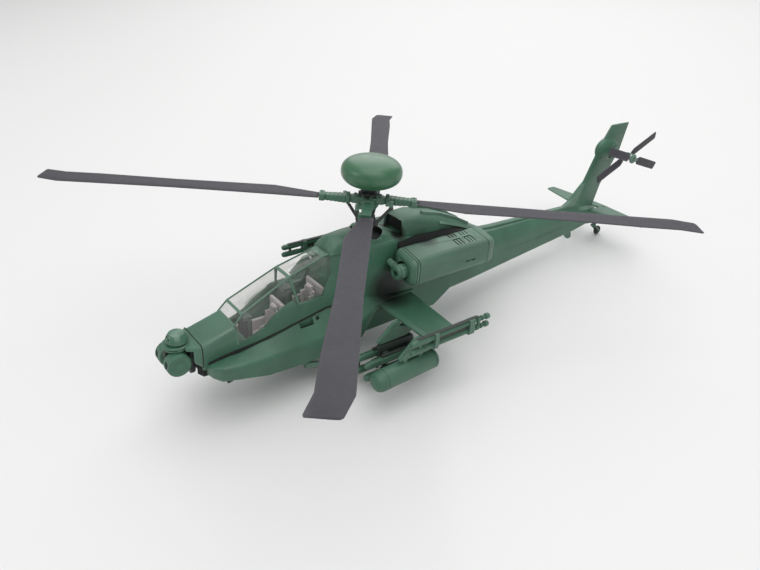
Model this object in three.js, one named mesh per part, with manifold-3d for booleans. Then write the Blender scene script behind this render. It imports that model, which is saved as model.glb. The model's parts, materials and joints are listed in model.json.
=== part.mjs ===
// Two-seat attack helicopter, 1:72 display model, as an assembly of separate pieces.
// Millimetres, +Z up, nose towards -Y, port side towards +X, standing on its three wheels.
import * as THREE from 'three';
import { mergeVertices } from 'three/addons/utils/BufferGeometryUtils.js';
import Module from 'manifold-3d';

const wasm = await Module();
wasm.setup();

// ---------------------------------------------------------------- driving dimensions
// The airframe frame has its origin at the rotor hub: x to port, y aft, z along the mast.
const METRE = 1000 / 72; // one metre of the full-size aircraft
const GAP = 0.3; // clearance between neighbouring pieces
const NOSE_UP = THREE.MathUtils.degToRad(4.5); // ground attitude
const HUB_HEIGHT = 51.8; // rotor hub above the ground

const ROTOR_RADIUS = 7.315 * METRE;
const BLADE_CHORD = 7.7;
const BLADE_THICKNESS = 0.7;
const BLADE_ROOT = 15.2; // radius where the blade starts
const BLADE_TAPER_END = 60; // radius out to which the leading edge runs back
const BLADE_FULL = 29.5; // radius where the root widens out to the blade
const BLADE_FLARE_END = 84; // radius where the blade reaches its full chord
const BLADE_SWEEP_START = 95;
const BLADE_SWEEP = 1.9;
const FIRST_BLADE_ANGLE = -37.86; // degrees from +x, seen from above
const BLADE_DROOP = 0.5; // how far the tip hangs below the root
const BLADE_SET = [[1, -0.8], [0, 0], [0, 0], [0, 0]]; // mm along the disc and degrees off its arm, each blade
const MAST_RADIUS = 1.5;
const SUPPORT_RADIUS = 0.7; // fixed rod through the hollow shaft that carries the radome
const RADOME_RADIUS = 9.4;
const RADOME_HEIGHT = 9.2;
const RADOME_CENTRE_Z = 8.8;
const RADOME_AFT = 0.8; // the radome stands slightly aft of the shaft

const TAIL_ROTOR_HUB = [10, 125.4, -2.3];
const TAIL_ROTOR_RADIUS = 18.9;
const TAIL_BLADE_CHORD = 3.3;
const TAIL_PAIR_ANGLES = [-17.3, 21.8]; // degrees above the aft direction: outer, inner
const TAIL_PAIR_SPACING = 2.6;

const WING_Z = -33;
const WING_THICKNESS = 2;
const WING_TIP_X = 34.2;
const WING_LEADING_Y = -0.6;
const INNER_PYLON_X = 20.8;
const OUTER_PYLON_X = 31.2;
const TIP_LAUNCHER_X = 36.2;

const NACELLE_X = 12.9; // centre of the engine nacelle
const NACELLE_HALF_WIDTH = 5.0;
const NACELLE_Z = -20.4;
const NACELLE_HALF_HEIGHT = 4.3;
const NACELLE_TOP_RISE = 1.8;
const NACELLE_FRONT = 5.5;
const NACELLE_END = 38.7;
const EXHAUST_END = 48;

const SENSOR_Y = -65.1; // sight turret axis
const SENSOR_Z = -34.9;
const DRUM_RADIUS = 3.45;
const DRUM_FACE_X = 4.9;
const NIGHT_TURRET_Y = -63.2;

const MAIN_WHEEL_X = 14.1;
const MAIN_WHEEL_Y = -19.2; // along the ground
const MAIN_WHEEL_RADIUS = 4.6;
const MAIN_WHEEL_WIDTH = 3.2;
const TAIL_WHEEL_Y = 127.9; // along the ground
const TAIL_WHEEL_RADIUS = 1.9;
const TAIL_WHEEL_WIDTH = 1.2;
const WHEEL_SIDES = 24;

const GUN_PIVOT_Y = -27;
const GUN_PIVOT_Z = -47.8;
const GUN_MUZZLE_Y = -49.5;
const GUN_MUZZLE_Z = -49.6;

const STABILATOR_Z = -27.0;
const STABILATOR_HALF_SPAN = 24.6;
const STABILATOR_PIVOT_Y = 121;

// ---------------------------------------------------------------- materials
const paint = (color, roughness) => new THREE.MeshStandardMaterial({ color, roughness, metalness: 0 });
const GREEN = paint(0x48765c, 0.75);
const LIGHT_GREEN = paint(0x4f8262, 0.7);
const RADOME_GREEN = paint(0x467a58, 0.5);
const BLADE_GREY = paint(0x57545d, 0.85);
const DARK = paint(0x1d2420, 0.7);
const COCKPIT_GREY = paint(0x8f8a8c, 0.8);
const SEAT_GREEN = paint(0x2e4a3d, 0.85);
const TYRE_BLACK = paint(0x232323, 0.9);
const CLEAR = new THREE.MeshStandardMaterial({
  color: 0xdfe6e6, roughness: 0.08, metalness: 0, transparent: true, opacity: 0.3,
});

// ---------------------------------------------------------------- solids
// A closed three.js geometry as a solid that can be cut and joined.
function solid(geometry) {
  const bare = geometry.clone();
  bare.deleteAttribute('normal');
  bare.deleteAttribute('uv');
  const merged = mergeVertices(bare, 1e-4);
  const triangles = [];
  const index = merged.index.array;
  for (let i = 0; i < index.length; i += 3) {
    const [a, b, c] = [index[i], index[i + 1], index[i + 2]];
    if (a !== b && b !== c && c !== a) triangles.push(a, b, c);
  }
  const vertProperties = new Float32Array(merged.attributes.position.array);
  const build = (triVerts) => new wasm.Manifold(new wasm.Mesh({ numProp: 3, vertProperties, triVerts }));
  const made = build(new Uint32Array(triangles));
  return made.volume() > 0 ? made : build(new Uint32Array(triangles.reverse()));
}

function geometryOf(shape) {
  const mesh = shape.getMesh();
  const geometry = new THREE.BufferGeometry();
  geometry.setAttribute('position', new THREE.BufferAttribute(new Float32Array(mesh.vertProperties), 3));
  geometry.setIndex(new THREE.BufferAttribute(new Uint32Array(mesh.triVerts), 1));
  return geometry;
}

const join = (...shapes) => shapes.reduce((whole, shape) => whole.add(shape));
// The main body of a shape, without slivers that a cut left behind.
const mainBody = (shape) => shape.decompose()
  .reduce((best, part) => (part.volume() > best.volume() ? part : best));
const cut = (shape, ...cutters) => cutters.reduce((whole, cutter) => whole.subtract(cutter), shape);

function block(x, y, z) {
  const geometry = new THREE.BoxGeometry(x[1] - x[0], y[1] - y[0], z[1] - z[0]);
  return solid(geometry.translate((x[0] + x[1]) / 2, (y[0] + y[1]) / 2, (z[0] + z[1]) / 2));
}

// A round bar from one point to another, with its own radius at each end.
function bar(from, to, radius, endRadius = radius, sides = 12, turn = 0) {
  const start = new THREE.Vector3(...from);
  const along = new THREE.Vector3(...to).sub(start);
  const geometry = new THREE.CylinderGeometry(endRadius, radius, along.length(), sides);
  geometry.rotateY(turn).translate(0, along.length() / 2, 0);
  const up = new THREE.Vector3(0, 1, 0);
  geometry.applyQuaternion(new THREE.Quaternion().setFromUnitVectors(up, along.clone().normalize()));
  return solid(geometry.translate(...from));
}

// A turned shape: profile points are [radius, distance along the axis].
function turned(profile, origin, direction, sides = 16) {
  const geometry = new THREE.LatheGeometry(profile.map(([r, t]) => new THREE.Vector2(r, t)), sides);
  const up = new THREE.Vector3(0, 1, 0);
  geometry.applyQuaternion(new THREE.Quaternion().setFromUnitVectors(up, new THREE.Vector3(...direction)));
  return solid(geometry.translate(...origin));
}

// A flat plate: outline points are [y, z], extruded between two x values.
function sidePlate(outline, fromX, toX) {
  const shape = new THREE.Shape(outline.map(([y, z]) => new THREE.Vector2(y, z)));
  const geometry = new THREE.ExtrudeGeometry(shape, { depth: toX - fromX, bevelEnabled: false });
  const axes = new THREE.Matrix4().makeBasis(
    new THREE.Vector3(0, 1, 0), new THREE.Vector3(0, 0, 1), new THREE.Vector3(1, 0, 0));
  return solid(geometry.applyMatrix4(axes).translate(fromX, 0, 0));
}

// A closed skin through rings that all have the same number of points.
function loft(rings) {
  const count = rings[0].length;
  const points = rings.flat();
  const triangles = [];
  for (let r = 0; r + 1 < rings.length; r += 1) {
    for (let i = 0; i < count; i += 1) {
      const [a, b] = [r * count + i, r * count + ((i + 1) % count)];
      triangles.push(a, b, b + count, a, b + count, a + count);
    }
  }
  const capEnd = (ring, first, flip) => {
    const middle = points.length;
    points.push([0, 1, 2].map((k) => ring.reduce((sum, p) => sum + p[k], 0) / count));
    for (let i = 0; i < count; i += 1) {
      const [a, b] = [first + i, first + ((i + 1) % count)];
      triangles.push(...(flip ? [b, a, middle] : [a, b, middle]));
    }
  };
  capEnd(rings[0], 0, true);
  capEnd(rings[rings.length - 1], (rings.length - 1) * count, false);
  const geometry = new THREE.BufferGeometry();
  geometry.setAttribute('position', new THREE.Float32BufferAttribute(points.flat(), 3));
  geometry.setIndex(triangles);
  return solid(geometry);
}

// A ring across the centre line from its port half, listed from the top to the belly.
function mirroredRing(y, half, grow = 0) {
  const grown = half.map(([x, z], i) => {
    const [before, after] = [half[Math.max(i - 1, 0)], half[Math.min(i + 1, half.length - 1)]];
    const normal = new THREE.Vector2(before[1] - after[1], after[0] - before[0]).normalize();
    const lift = i === 0 ? 1 : (i === half.length - 1 ? -1 : normal.y);
    return [x === 0 ? 0 : x + normal.x * grow, z + lift * grow];
  });
  const port = grown.map(([x, z]) => [x, y, z]);
  const starboard = grown.slice(1, -1).reverse().map(([x, z]) => [-x, y, z]);
  return [...port, ...starboard];
}

// A rounded rectangle ring in the plane across the fuselage.
function roundedRing(x, y, z, halfWidth, halfHeight, radius, arcSteps = 3) {
  const corners = [[1, 1, 0], [-1, 1, 1], [-1, -1, 2], [1, -1, 3]];
  return corners.flatMap(([sx, sz, quarter]) => Array.from({ length: arcSteps + 1 }, (_, k) => {
    const angle = (quarter + k / arcSteps) * Math.PI / 2;
    return [
      x + sx * (halfWidth - radius) + radius * Math.cos(angle),
      y,
      z + sz * (halfHeight - radius) + radius * Math.sin(angle),
    ];
  }));
}

const mirrorX = (shape) => {
  const geometry = geometryOf(shape).toNonIndexed().scale(-1, 1, 1);
  return solid(geometry);
};
const onSide = (side, shape) => (side > 0 ? shape : mirrorX(shape));

// The same spot measured from the ground: across, along the ground, height.
function fromGround(x, y, height) {
  const [sin, cos] = [Math.sin(NOSE_UP), Math.cos(NOSE_UP)];
  const z = height - HUB_HEIGHT;
  return [x, y * cos - z * sin, y * sin + z * cos];
}

// ---------------------------------------------------------------- fuselage shape
// Port half sections [x, z] from the top centre to the belly centre, by distance aft of the mast.
const FUSELAGE_SECTIONS = [
  [-59.0, [[0, -29.7], [4.9, -29.9], [6.0, -30.9], [6.2, -33.0],
    [6.2, -35.5], [6.0, -37.6], [5.2, -38.4], [0, -38.6]]],
  [-48.5, [[0, -26.8], [4.9, -27.0], [5.7, -27.7], [6.4, -31.5],
    [6.7, -36.0], [6.6, -41.2], [5.8, -42.2], [0, -42.4]]],
  [-46.2, [[0, -24.0], [4.9, -24.1], [5.4, -24.6], [6.5, -31.5],
    [6.8, -36.0], [6.7, -41.8], [5.9, -42.8], [0, -42.9]]],
  [-30.3, [[0, -16.9], [3.9, -17.0], [4.3, -17.6], [6.7, -27.0],
    [7.2, -33.0], [7.5, -42.4], [6.7, -43.4], [0, -43.6]]],
  [-18.6, [[0, -13.5], [3.3, -13.8], [3.8, -14.4], [6.9, -25.8],
    [7.6, -33.0], [7.9, -42.6], [7.1, -43.6], [0, -43.8]]],
  [-10.0, [[0, -12.6], [4.6, -12.9], [5.2, -13.6], [7.1, -26.0],
    [7.9, -33.0], [8.1, -42.5], [7.3, -43.5], [0, -43.7]]],
  [0.0, [[0, -12.6], [5.9, -12.9], [6.5, -13.6], [7.3, -26.0],
    [8.1, -33.0], [8.3, -42.1], [7.5, -43.1], [0, -43.3]]],
  [10.0, [[0, -12.6], [5.9, -12.9], [6.5, -13.6], [7.3, -26.0],
    [8.2, -33.0], [8.4, -41.7], [7.6, -42.7], [0, -42.9]]],
  [26.0, [[0, -14.4], [5.2, -14.8], [6.0, -16.0], [7.3, -26.0],
    [8.2, -33.0], [8.4, -41.3], [7.6, -42.3], [0, -42.5]]],
  [34.0, [[0, -17.4], [4.6, -17.8], [5.6, -19.0], [7.1, -26.0],
    [7.8, -31.5], [7.8, -36.6], [7.0, -38.0], [0, -38.3]]],
  [46.0, [[0, -20.8], [3.6, -21.2], [5.2, -23.6], [6.6, -27.0],
    [7.0, -31.0], [6.8, -36.8], [6.0, -37.9], [0, -38.2]]],
  [58.0, [[0, -22.0], [2.6, -22.4], [4.6, -24.8], [5.8, -27.6],
    [6.0, -31.0], [5.6, -36.4], [4.8, -37.7], [0, -38.0]]],
  [82.0, [[0, -22.7], [1.8, -23.1], [3.4, -25.2], [4.3, -27.8],
    [4.5, -30.6], [4.1, -35.2], [3.4, -36.3], [0, -36.6]]],
  [110.0, [[0, -23.4], [1.2, -23.8], [2.2, -25.4], [2.8, -27.8],
    [2.9, -30.0], [2.5, -33.6], [1.9, -34.7], [0, -35.0]]],
  [123.5, [[0, -23.8], [0.9, -24.2], [1.5, -25.6], [1.9, -27.6],
    [1.9, -29.4], [1.6, -32.0], [1.2, -32.9], [0, -33.2]]],
];
const CANOPY_FRONT = -48.5;
const CANOPY_REAR = -17;
// Sill line of the canopy, [y, z], from the nose aft.
const SILL = [[-51, -25.6], [-48.9, -26.7], [-48.4, -32.7], [-45.5, -32.1], [-42.6, -31.2], [-39.7, -29.8],
  [-36.6, -27.2], [-33.4, -25.2], [-30, -24], [-28.6, -25.7], [-24.4, -25.7], [-20, -25.4],
  [-18.7, -22.4], [-16.4, -19.4], [-15.6, -12]];

const fuselageSkin = (grow = 0) => loft(FUSELAGE_SECTIONS.map(([y, half], i) => {
  const ends = i === 0 ? -grow : (i === FUSELAGE_SECTIONS.length - 1 ? grow : 0);
  return mirroredRing(y + ends, half, grow);
}));

// Everything above the sill, over the cockpit.
const aboveSill = (drop = 0) => sidePlate(
  [...SILL.map(([y, z]) => [y, z - drop]), [-15.6, -8], [-51, -8]], -12, 12);


const FLOOR_HALF_WIDTH = 4.9;
const WALL = 1.2;
const pieces = []; // [name, shape, material]
const add = (name, shape, material) => pieces.push([name, shape, material]);

// ---------------------------------------------------------------- fuselage halves
function fuselageHull() {
  const inner = FUSELAGE_SECTIONS.filter(([y]) => y > -47 && y < 90);
  const hollow = loft(inner.map(([y, half]) => mirroredRing(y, half, -WALL)));
  const mastHole = bar([0, 0, -30], [0, 0, -8], MAST_RADIUS + 1);
  const stabilatorHole = bar(
    [-5, STABILATOR_PIVOT_Y, STABILATOR_Z], [5, STABILATOR_PIVOT_Y, STABILATOR_Z], 0.9);
  return cut(fuselageSkin(), hollow, aboveSill(), mastHole, stabilatorHole);
}

function addFuselage() {
  const hull = fuselageHull();
  add('fuselage_left', cut(hull, block([-20, GAP / 2], [-80, 140], [-60, 10])), GREEN);
  add('fuselage_right', cut(hull, block([-GAP / 2, 20], [-80, 140], [-60, 10])), GREEN);
}

// ---------------------------------------------------------------- canopy
const FRAME_DEPTH = 0.55;
const GLASS_DEPTH = 0.55;

// Openings for the panes, cut straight through the frame.
function paneOpenings() {
  const front = sidePlate([[-46.6, -31.2], [-45.6, -25.4], [-31.8, -18.8], [-30.8, -22.6], [-31.4, -23.3],
    [-33.2, -24], [-36.2, -25.9], [-39.2, -28.4], [-42.2, -29.9], [-44.6, -30.7]], -12, 12);
  const rear = sidePlate([[-29.4, -18.4], [-18.9, -15.2], [-18, -17], [-18.2, -20.4], [-19.8, -23.4],
    [-21, -24.5], [-27.8, -24.7]], -12, 12);
  const roof = (y, halfWidth) => solid(new THREE.ExtrudeGeometry(new THREE.Shape(
    [[-halfWidth[0], y[0]], [halfWidth[0], y[0]], [halfWidth[1], y[1]], [-halfWidth[1], y[1]]]
      .map(([a, b]) => new THREE.Vector2(a, b))), { depth: 30, bevelEnabled: false }).translate(0, 0, -26.4));
  const screen = cut(
    loft([[-50.5, -27.5], [-45.8, -21.9]].map(([y, z], i) => {
      const w = 5.1 - 0.3 * i;
      return [[-w, y, z], [w, y, z], [w, y + 2.4, z - 1.8], [-w, y + 2.4, z - 1.8]];
    })), block([-9, 9], [-60, -40], [-40, -26.6]), block([-9, 9], [-60, -40], [-24.4, 0]));
  return [front, rear, roof([-45.6, -30.9], [4.6, 3.6]), roof([-29.7, -18.4], [3.6, 2.8]), screen];
}

function addCanopy() {
  const region = cut(aboveSill(-GAP), block([-12, 12], [CANOPY_REAR, 20], [-60, 10]));
  const shellOf = (outer, inner) => cut(fuselageSkin(-outer).intersect(region), fuselageSkin(-inner));
  add('canopy_frame', cut(shellOf(0, FRAME_DEPTH), ...paneOpenings()), GREEN);
  const glassStart = FRAME_DEPTH + GAP;
  const glass = shellOf(glassStart, glassStart + GLASS_DEPTH);
  add('canopy_glass', mainBody(cut(glass, block([-12, 12], [-60, CANOPY_FRONT + 1.6], [-60, 0]))), CLEAR);
}

// ---------------------------------------------------------------- cockpit
function addCockpit() {
  const w = FLOOR_HALF_WIDTH;
  const tub = join(
    block([-w, w], [-45.2, -31], [-38, -37]), block([-w, w], [-32, -31], [-38, -27]),
    block([-w, w], [-32, -18], [-34.6, -33.6]), block([-w, w], [-19, -18], [-34.6, -24]),
    block([3.7, w], [-45.2, -31], [-38, -33.6]), block([-w, -3.7], [-45.2, -31], [-38, -33.6]),
    block([3.7, w], [-32, -18], [-34.6, -29.4]), block([-w, -3.7], [-32, -18], [-34.6, -29.4]));
  add('cockpit_tub', tub, COCKPIT_GREY);
  const seat = (y, z) => join(
    block([-2.6, 2.6], [y - 4.2, y], [z, z + 1.8]), block([-2.6, 2.6], [y - 1.2, y], [z, z + 7.6]),
    block([-1.3, 1.3], [y - 1.2, y], [z, z + 9]));
  add('gunner_seat', seat(-32.8, -36.6), SEAT_GREEN);
  add('pilot_seat', seat(-20.4, -33.2), SEAT_GREEN);
  const panel = (y, z, high) => join(
    block([-3.2, 3.2], [y, y + 1.4], [z, z + high]),
    block([-2.4, 2.4], [y - 1, y + 2.2], [z + high - 1, z + high]));
  add('gunner_panel', join(panel(-43.6, -36.6, 9), block([-1, 1], [-43, -40.6], [-30.4, -28.4])), DARK);
  add('pilot_panel', panel(-30.2, -33.2, 11.4), DARK);
}

// ---------------------------------------------------------------- nose and sights
const SWEEP_CLEARANCE = 6.6; // radius swept by the sight drums, with running clearance

function addSights() {
  const fairing = join(
    loft([[-59.3, 5.9, -29.9, -36], [-60.6, 4.9, -30.2, -35.4], [-62.4, 3.6, -30.4, -34.6]].map(
      ([y, w, top, bottom]) => roundedRing(0, y, (top + bottom) / 2, w, (top - bottom) / 2, 1))),
    turned([[0, 0], [3.6, 0], [3.6, 1.1], [3.2, 1.4], [0, 1.4]], [0, -64.2, -31.3], [0, 0, 1], 20));
  const sweep = bar([0, SENSOR_Y, -45], [0, SENSOR_Y, -31.3], SWEEP_CLEARANCE, SWEEP_CLEARANCE, 32);
  add('nose_fairing', cut(fairing, sweep), GREEN);
  const spindle = bar([-2, SENSOR_Y, SENSOR_Z], [2, SENSOR_Y, SENSOR_Z], 1.3);
  const yoke = block([-0.9, 0.9], [SENSOR_Y - 2.6, SENSOR_Y + 2.6], [-37, -31.6]);
  add('sight_yoke', cut(yoke, spindle), DARK);
  const rim = DRUM_RADIUS - 0.5;
  const drum = (side) => turned(
    [[0, 0], [rim, 0], [DRUM_RADIUS, 0.5], [DRUM_RADIUS, 3.1], [rim, 3.7], [0, 3.7]],
    [side * (DRUM_FACE_X - 3.7), SENSOR_Y, SENSOR_Z], [side, 0, 0], 24);
  const window = (x) => block(
    [x - 1.1, x + 1.1], [SENSOR_Y - 5, SENSOR_Y - 2.8], [SENSOR_Z - 1.5, SENSOR_Z + 1.5]);
  const drums = join(drum(1), drum(-1), bar([-2, SENSOR_Y, SENSOR_Z], [2, SENSOR_Y, SENSOR_Z], 1));
  add('sight_drums', cut(drums, window(3.5), window(-3.5)), GREEN);
  const night = join(
    turned([[0, 0], [2.3, 0], [2.5, 0.5], [2.5, 1.9], [1.9, 2.5], [0, 2.6]],
      [0, NIGHT_TURRET_Y - 0.4, -29.6], [0, 0, 1], 20),
    block([-1.7, 1.7], [NIGHT_TURRET_Y - 3.2, NIGHT_TURRET_Y], [-29.5, -27.3]));
  add('night_sight', cut(night, bar([-0.7, -70, -28.3], [-0.7, NIGHT_TURRET_Y - 2.4, -28.3], 0.7)), GREEN);
}

// ---------------------------------------------------------------- cheek fairings
// Sections [y, [inner top z], [crease x, z], [side x, z], [lower x, z], bottom z].
const CHEEK_SECTIONS = [
  [-58.4, -36.7, [8.8, -36.3], [9.0, -37.0], [8.6, -37.8], -38.0],
  [-56.4, -36.4, [11.0, -35.7], [11.4, -36.8], [10.6, -39.4], -40.2],
  [-50.5, -35.2, [12.0, -35.7], [12.3, -37.0], [11.6, -41.1], -42.5],
  [-41.5, -33.0, [12.2, -36.3], [12.5, -37.4], [12.0, -43.0], -44.0],
  [-29.7, -29.6, [12.2, -36.2], [12.5, -37.4], [12.0, -43.6], -44.4],
  [-19.4, -27.0, [12.1, -36.0], [12.4, -37.2], [11.9, -43.6], -44.4],
  [-7.5, -28.0, [11.3, -34.6], [11.7, -36.0], [11.2, -42.0], -43.2],
  [-1.4, -29.4, [9.6, -32.4], [9.9, -33.4], [9.4, -36.0], -37.4],
];
const CHEEK_INNER_X = 5;

function cheek(grow = 0) {
  return loft(CHEEK_SECTIONS.map(([y, top, crease, side, lower, bottom], i) => {
    const ends = i === 0 ? -grow : (i === CHEEK_SECTIONS.length - 1 ? grow : 0);
    return [
      [CHEEK_INNER_X, top + grow], [crease[0] + grow, crease[1] + grow], [side[0] + grow, side[1]],
      [lower[0] + grow, lower[1] - grow], [CHEEK_INNER_X, bottom - grow],
    ].map(([x, z]) => [x, y + ends, z]);
  }));
}

// ---------------------------------------------------------------- engines
// The top of an engine pod rises towards the fuselage.
function nacelleRing(x, y, z, halfWidth, halfHeight, radius) {
  return roundedRing(x, y, z, halfWidth, halfHeight, radius).map(([px, py, pz]) => {
    const inboard = (x + halfWidth - px) / (2 * halfWidth);
    return [px, py, pz > z ? pz + NACELLE_TOP_RISE * inboard * (pz - z) / halfHeight : pz];
  });
}

function nacelle() {
  const ring = (y, inset) => nacelleRing(
    NACELLE_X, y, NACELLE_Z, NACELLE_HALF_WIDTH - inset, NACELLE_HALF_HEIGHT - inset, 1.7 - inset / 3);
  const body = loft([ring(NACELLE_FRONT, 1.3), ring(NACELLE_FRONT + 0.5, 0.5),
    ring(NACELLE_FRONT + 1.4, 0), ring(NACELLE_END, 0)]);
  const inlet = bar([NACELLE_X, NACELLE_FRONT - 1, NACELLE_Z],
    [NACELLE_X, NACELLE_FRONT + 4, NACELLE_Z], 3, 2.9, 20);
  return cut(body, inlet);
}

function noseGearbox() {
  const profile = [[1, 0], [2.1, 0], [2.4, 0.5], [2.4, 5], [1.5, 6.6], [0, 6.6], [0, 1.4], [1, 1.4], [1, 0]];
  const body = turned(profile, [NACELLE_X + 0.4, NACELLE_FRONT - 3.6, NACELLE_Z], [0, 1, 0], 14);
  return join(body, bar([8, 3.8, NACELLE_Z + 1.6], [NACELLE_X, 3.8, NACELLE_Z + 0.6], 1.1));
}

function exhaust() {
  const ring = (y, x, z, halfWidth, halfHeight) => nacelleRing(x, y, z, halfWidth, halfHeight, 1.4);
  const [w, h] = [NACELLE_HALF_WIDTH, NACELLE_HALF_HEIGHT];
  return loft([
    ring(NACELLE_END + GAP, NACELLE_X, NACELLE_Z, w, h),
    ring(NACELLE_END + 4, NACELLE_X - 0.5, NACELLE_Z - 0.6, w - 0.6, h - 0.2),
    ring(EXHAUST_END - 2, NACELLE_X - 2.6, NACELLE_Z - 2, 2.8, 3.1),
    ring(EXHAUST_END, NACELLE_X - 3.8, NACELLE_Z - 2.6, 1.6, 2.2)]);
}

// Sections of the cowl behind the mast, [y, top z, top half width, side half width, side z].
const COWL_SECTIONS = [
  [11, -7.8, 3.0, 4.9, -10.0], [12.8, -7.2, 3.4, 5.5, -10.0], [18, -7.0, 3.6, 6.0, -10.6],
  [27, -9.0, 3.4, 5.9, -12.8], [36, -12.4, 3.0, 5.4, -15.8], [46, -17.6, 2.4, 4.6, -19.8],
  [53, -21.0, 1.8, 3.4, -22.6],
];

function engineCowl() {
  const skin = loft(COWL_SECTIONS.map(([y, top, topWidth, width, sideZ]) => mirroredRing(y, [
    [0, top], [topWidth, top - 0.3], [width - 0.4, (top + sideZ) / 2], [width, sideZ],
    [width + 0.2, -25], [0, -26]])));
  const intake = block([-3.6, 3.6], [9, 14], [-11.8, -8.6]);
  return cut(skin, fuselageSkin(GAP), intake);
}

function addEngines() {
  const hull = fuselageSkin(GAP);
  for (const [side, label] of [[1, 'left'], [-1, 'right']]) {
    add(`nacelle_${label}`, onSide(side, cut(nacelle(), hull)), GREEN);
    add(`gearbox_${label}`, onSide(side, cut(noseGearbox(), hull)), GREEN);
    add(`exhaust_${label}`, onSide(side, cut(exhaust(), hull)), GREEN);
    add(`cheek_${label}`, onSide(side, cut(cheek(), hull)), GREEN);
  }
  add('engine_cowl', engineCowl(), GREEN);
}

// ---------------------------------------------------------------- wings and stores
// Aerofoil ring [y, z] points from leading to trailing edge at one span position.
function foilRing(place, leading, trailing, thickness) {
  const chord = trailing - leading;
  const upper = [[0, 0], [0.04, 0.32], [0.15, 0.5], [0.4, 0.5], [0.75, 0.28], [1, 0.07]];
  const lower = upper.slice(1).reverse().map(([c, t]) => [c, -t]);
  return [...upper, ...lower].map(([c, t]) => place(leading + c * chord, t * thickness));
}

function wing() {
  const ring = (x, trailing, thickness) => foilRing(
    (y, t) => [x, y, WING_Z + t], WING_LEADING_Y, trailing, thickness);
  return loft([ring(6, 14.4, WING_THICKNESS), ring(WING_TIP_X, 11.8, WING_THICKNESS * 0.8)]);
}

const PYLON_OUTLINE = [[-1.1, -32.4], [-3.6, -32.6], [-5.4, -34.4], [-9.4, -38], [-8.6, -38.8],
  [2, -38.6], [9, -35.8], [10, -34.4], [-1.1, -34.4]];
const pylon = (x) => sidePlate(PYLON_OUTLINE, x - 0.55, x + 0.55);

const MISSILE_LENGTH = 1.63 * METRE;
const MISSILE_RADIUS = 1.2;
const MISSILE_FRONT = -15.4;
const MISSILE_SPREAD = 2.3; // either side of the rack
const MISSILE_ROWS = [-43.4, -47.9];
function missileRack() {
  const x = INNER_PYLON_X;
  const spine = join(
    block([x - 1, x + 1], [-9, 5], [-41.4, -39.1]), block([x - 0.5, x + 0.5], [-9, 5], [-46.4, -41]));
  const arms = MISSILE_ROWS.map((z) => block([x - 2.8, x + 2.8], [-9, 5], [z + 1, z + 1.9]));
  const missile = (side, z) => {
    const centre = x + side * MISSILE_SPREAD;
    const body = turned(
      [[0, 0], [0.7, 0.2], [MISSILE_RADIUS, 1.3], [MISSILE_RADIUS, MISSILE_LENGTH], [0, MISSILE_LENGTH]],
      [centre, MISSILE_FRONT, z], [0, 1, 0], 8);
    const fins = [0.5, 1.5].map((turn) => solid(new THREE.BoxGeometry(4, 3, 0.35).rotateY(turn * Math.PI / 2)
      .translate(centre, MISSILE_FRONT + MISSILE_LENGTH - 2.2, z)));
    return join(body, ...fins);
  };
  return join(spine, ...arms, ...MISSILE_ROWS.flatMap((z) => [missile(1, z), missile(-1, z)]));
}

const POD_RADIUS = 3.3;
const POD_FRONT = [-17.7, -43.4]; // [y, z]
const POD_BACK = [5.1, -42.3];
function rocketPod() {
  const axis = new THREE.Vector3(0, POD_BACK[0] - POD_FRONT[0], POD_BACK[1] - POD_FRONT[1]);
  const length = axis.length();
  return turned([[0, 0], [1.8, 0.1], [POD_RADIUS - 0.3, 0.9], [POD_RADIUS, 1.6], [POD_RADIUS, length - 0.8],
    [POD_RADIUS - 0.5, length], [0, length]], [OUTER_PYLON_X, ...POD_FRONT], axis.normalize().toArray(), 24);
}

const TIP_FRONT = -9.5;
const TIP_LENGTH = 32;
const TIP_TUBES_Z = [-30, -32.8];
function tipLauncher() {
  const tube = (z) => {
    const profile = [[0, 0], [0.9, 0.8], [0.9, 2.4], [0.75, 2.6], [0.75, 9], [1.05, 9.1], [1.05, 10.1],
      [0.75, 10.2], [0.75, TIP_LENGTH - 4.4], [1, TIP_LENGTH - 4.2], [1, TIP_LENGTH - 2.8],
      [0.6, TIP_LENGTH - 2.6], [0.95, TIP_LENGTH - 1.8], [0.95, TIP_LENGTH - 0.4], [0, TIP_LENGTH]];
    return turned(profile, [TIP_LAUNCHER_X, TIP_FRONT, z], [0, 1, 0], 8);
  };
  return join(...TIP_TUBES_Z.map(tube),
    block([TIP_LAUNCHER_X - 0.5, TIP_LAUNCHER_X + 0.5], [-4, 17], [TIP_TUBES_Z[1], TIP_TUBES_Z[0]]),
    block([WING_TIP_X + GAP, TIP_LAUNCHER_X], [0, 11], [-33.7, -32.3]));
}

function addWings() {
  const blocked = [fuselageSkin(GAP), cheek(GAP)];
  for (const [side, label] of [[1, 'left'], [-1, 'right']]) {
    add(`wing_${label}`, onSide(side, cut(wing(), ...blocked)), GREEN);
    add(`inner_pylon_${label}`, onSide(side, pylon(INNER_PYLON_X)), GREEN);
    add(`outer_pylon_${label}`, onSide(side, pylon(OUTER_PYLON_X)), GREEN);
    add(`missile_rack_${label}`, onSide(side, missileRack()), LIGHT_GREEN);
    add(`rocket_pod_${label}`, onSide(side, rocketPod()), GREEN);
    add(`tip_launcher_${label}`, onSide(side, tipLauncher()), LIGHT_GREEN);
  }
}

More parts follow.
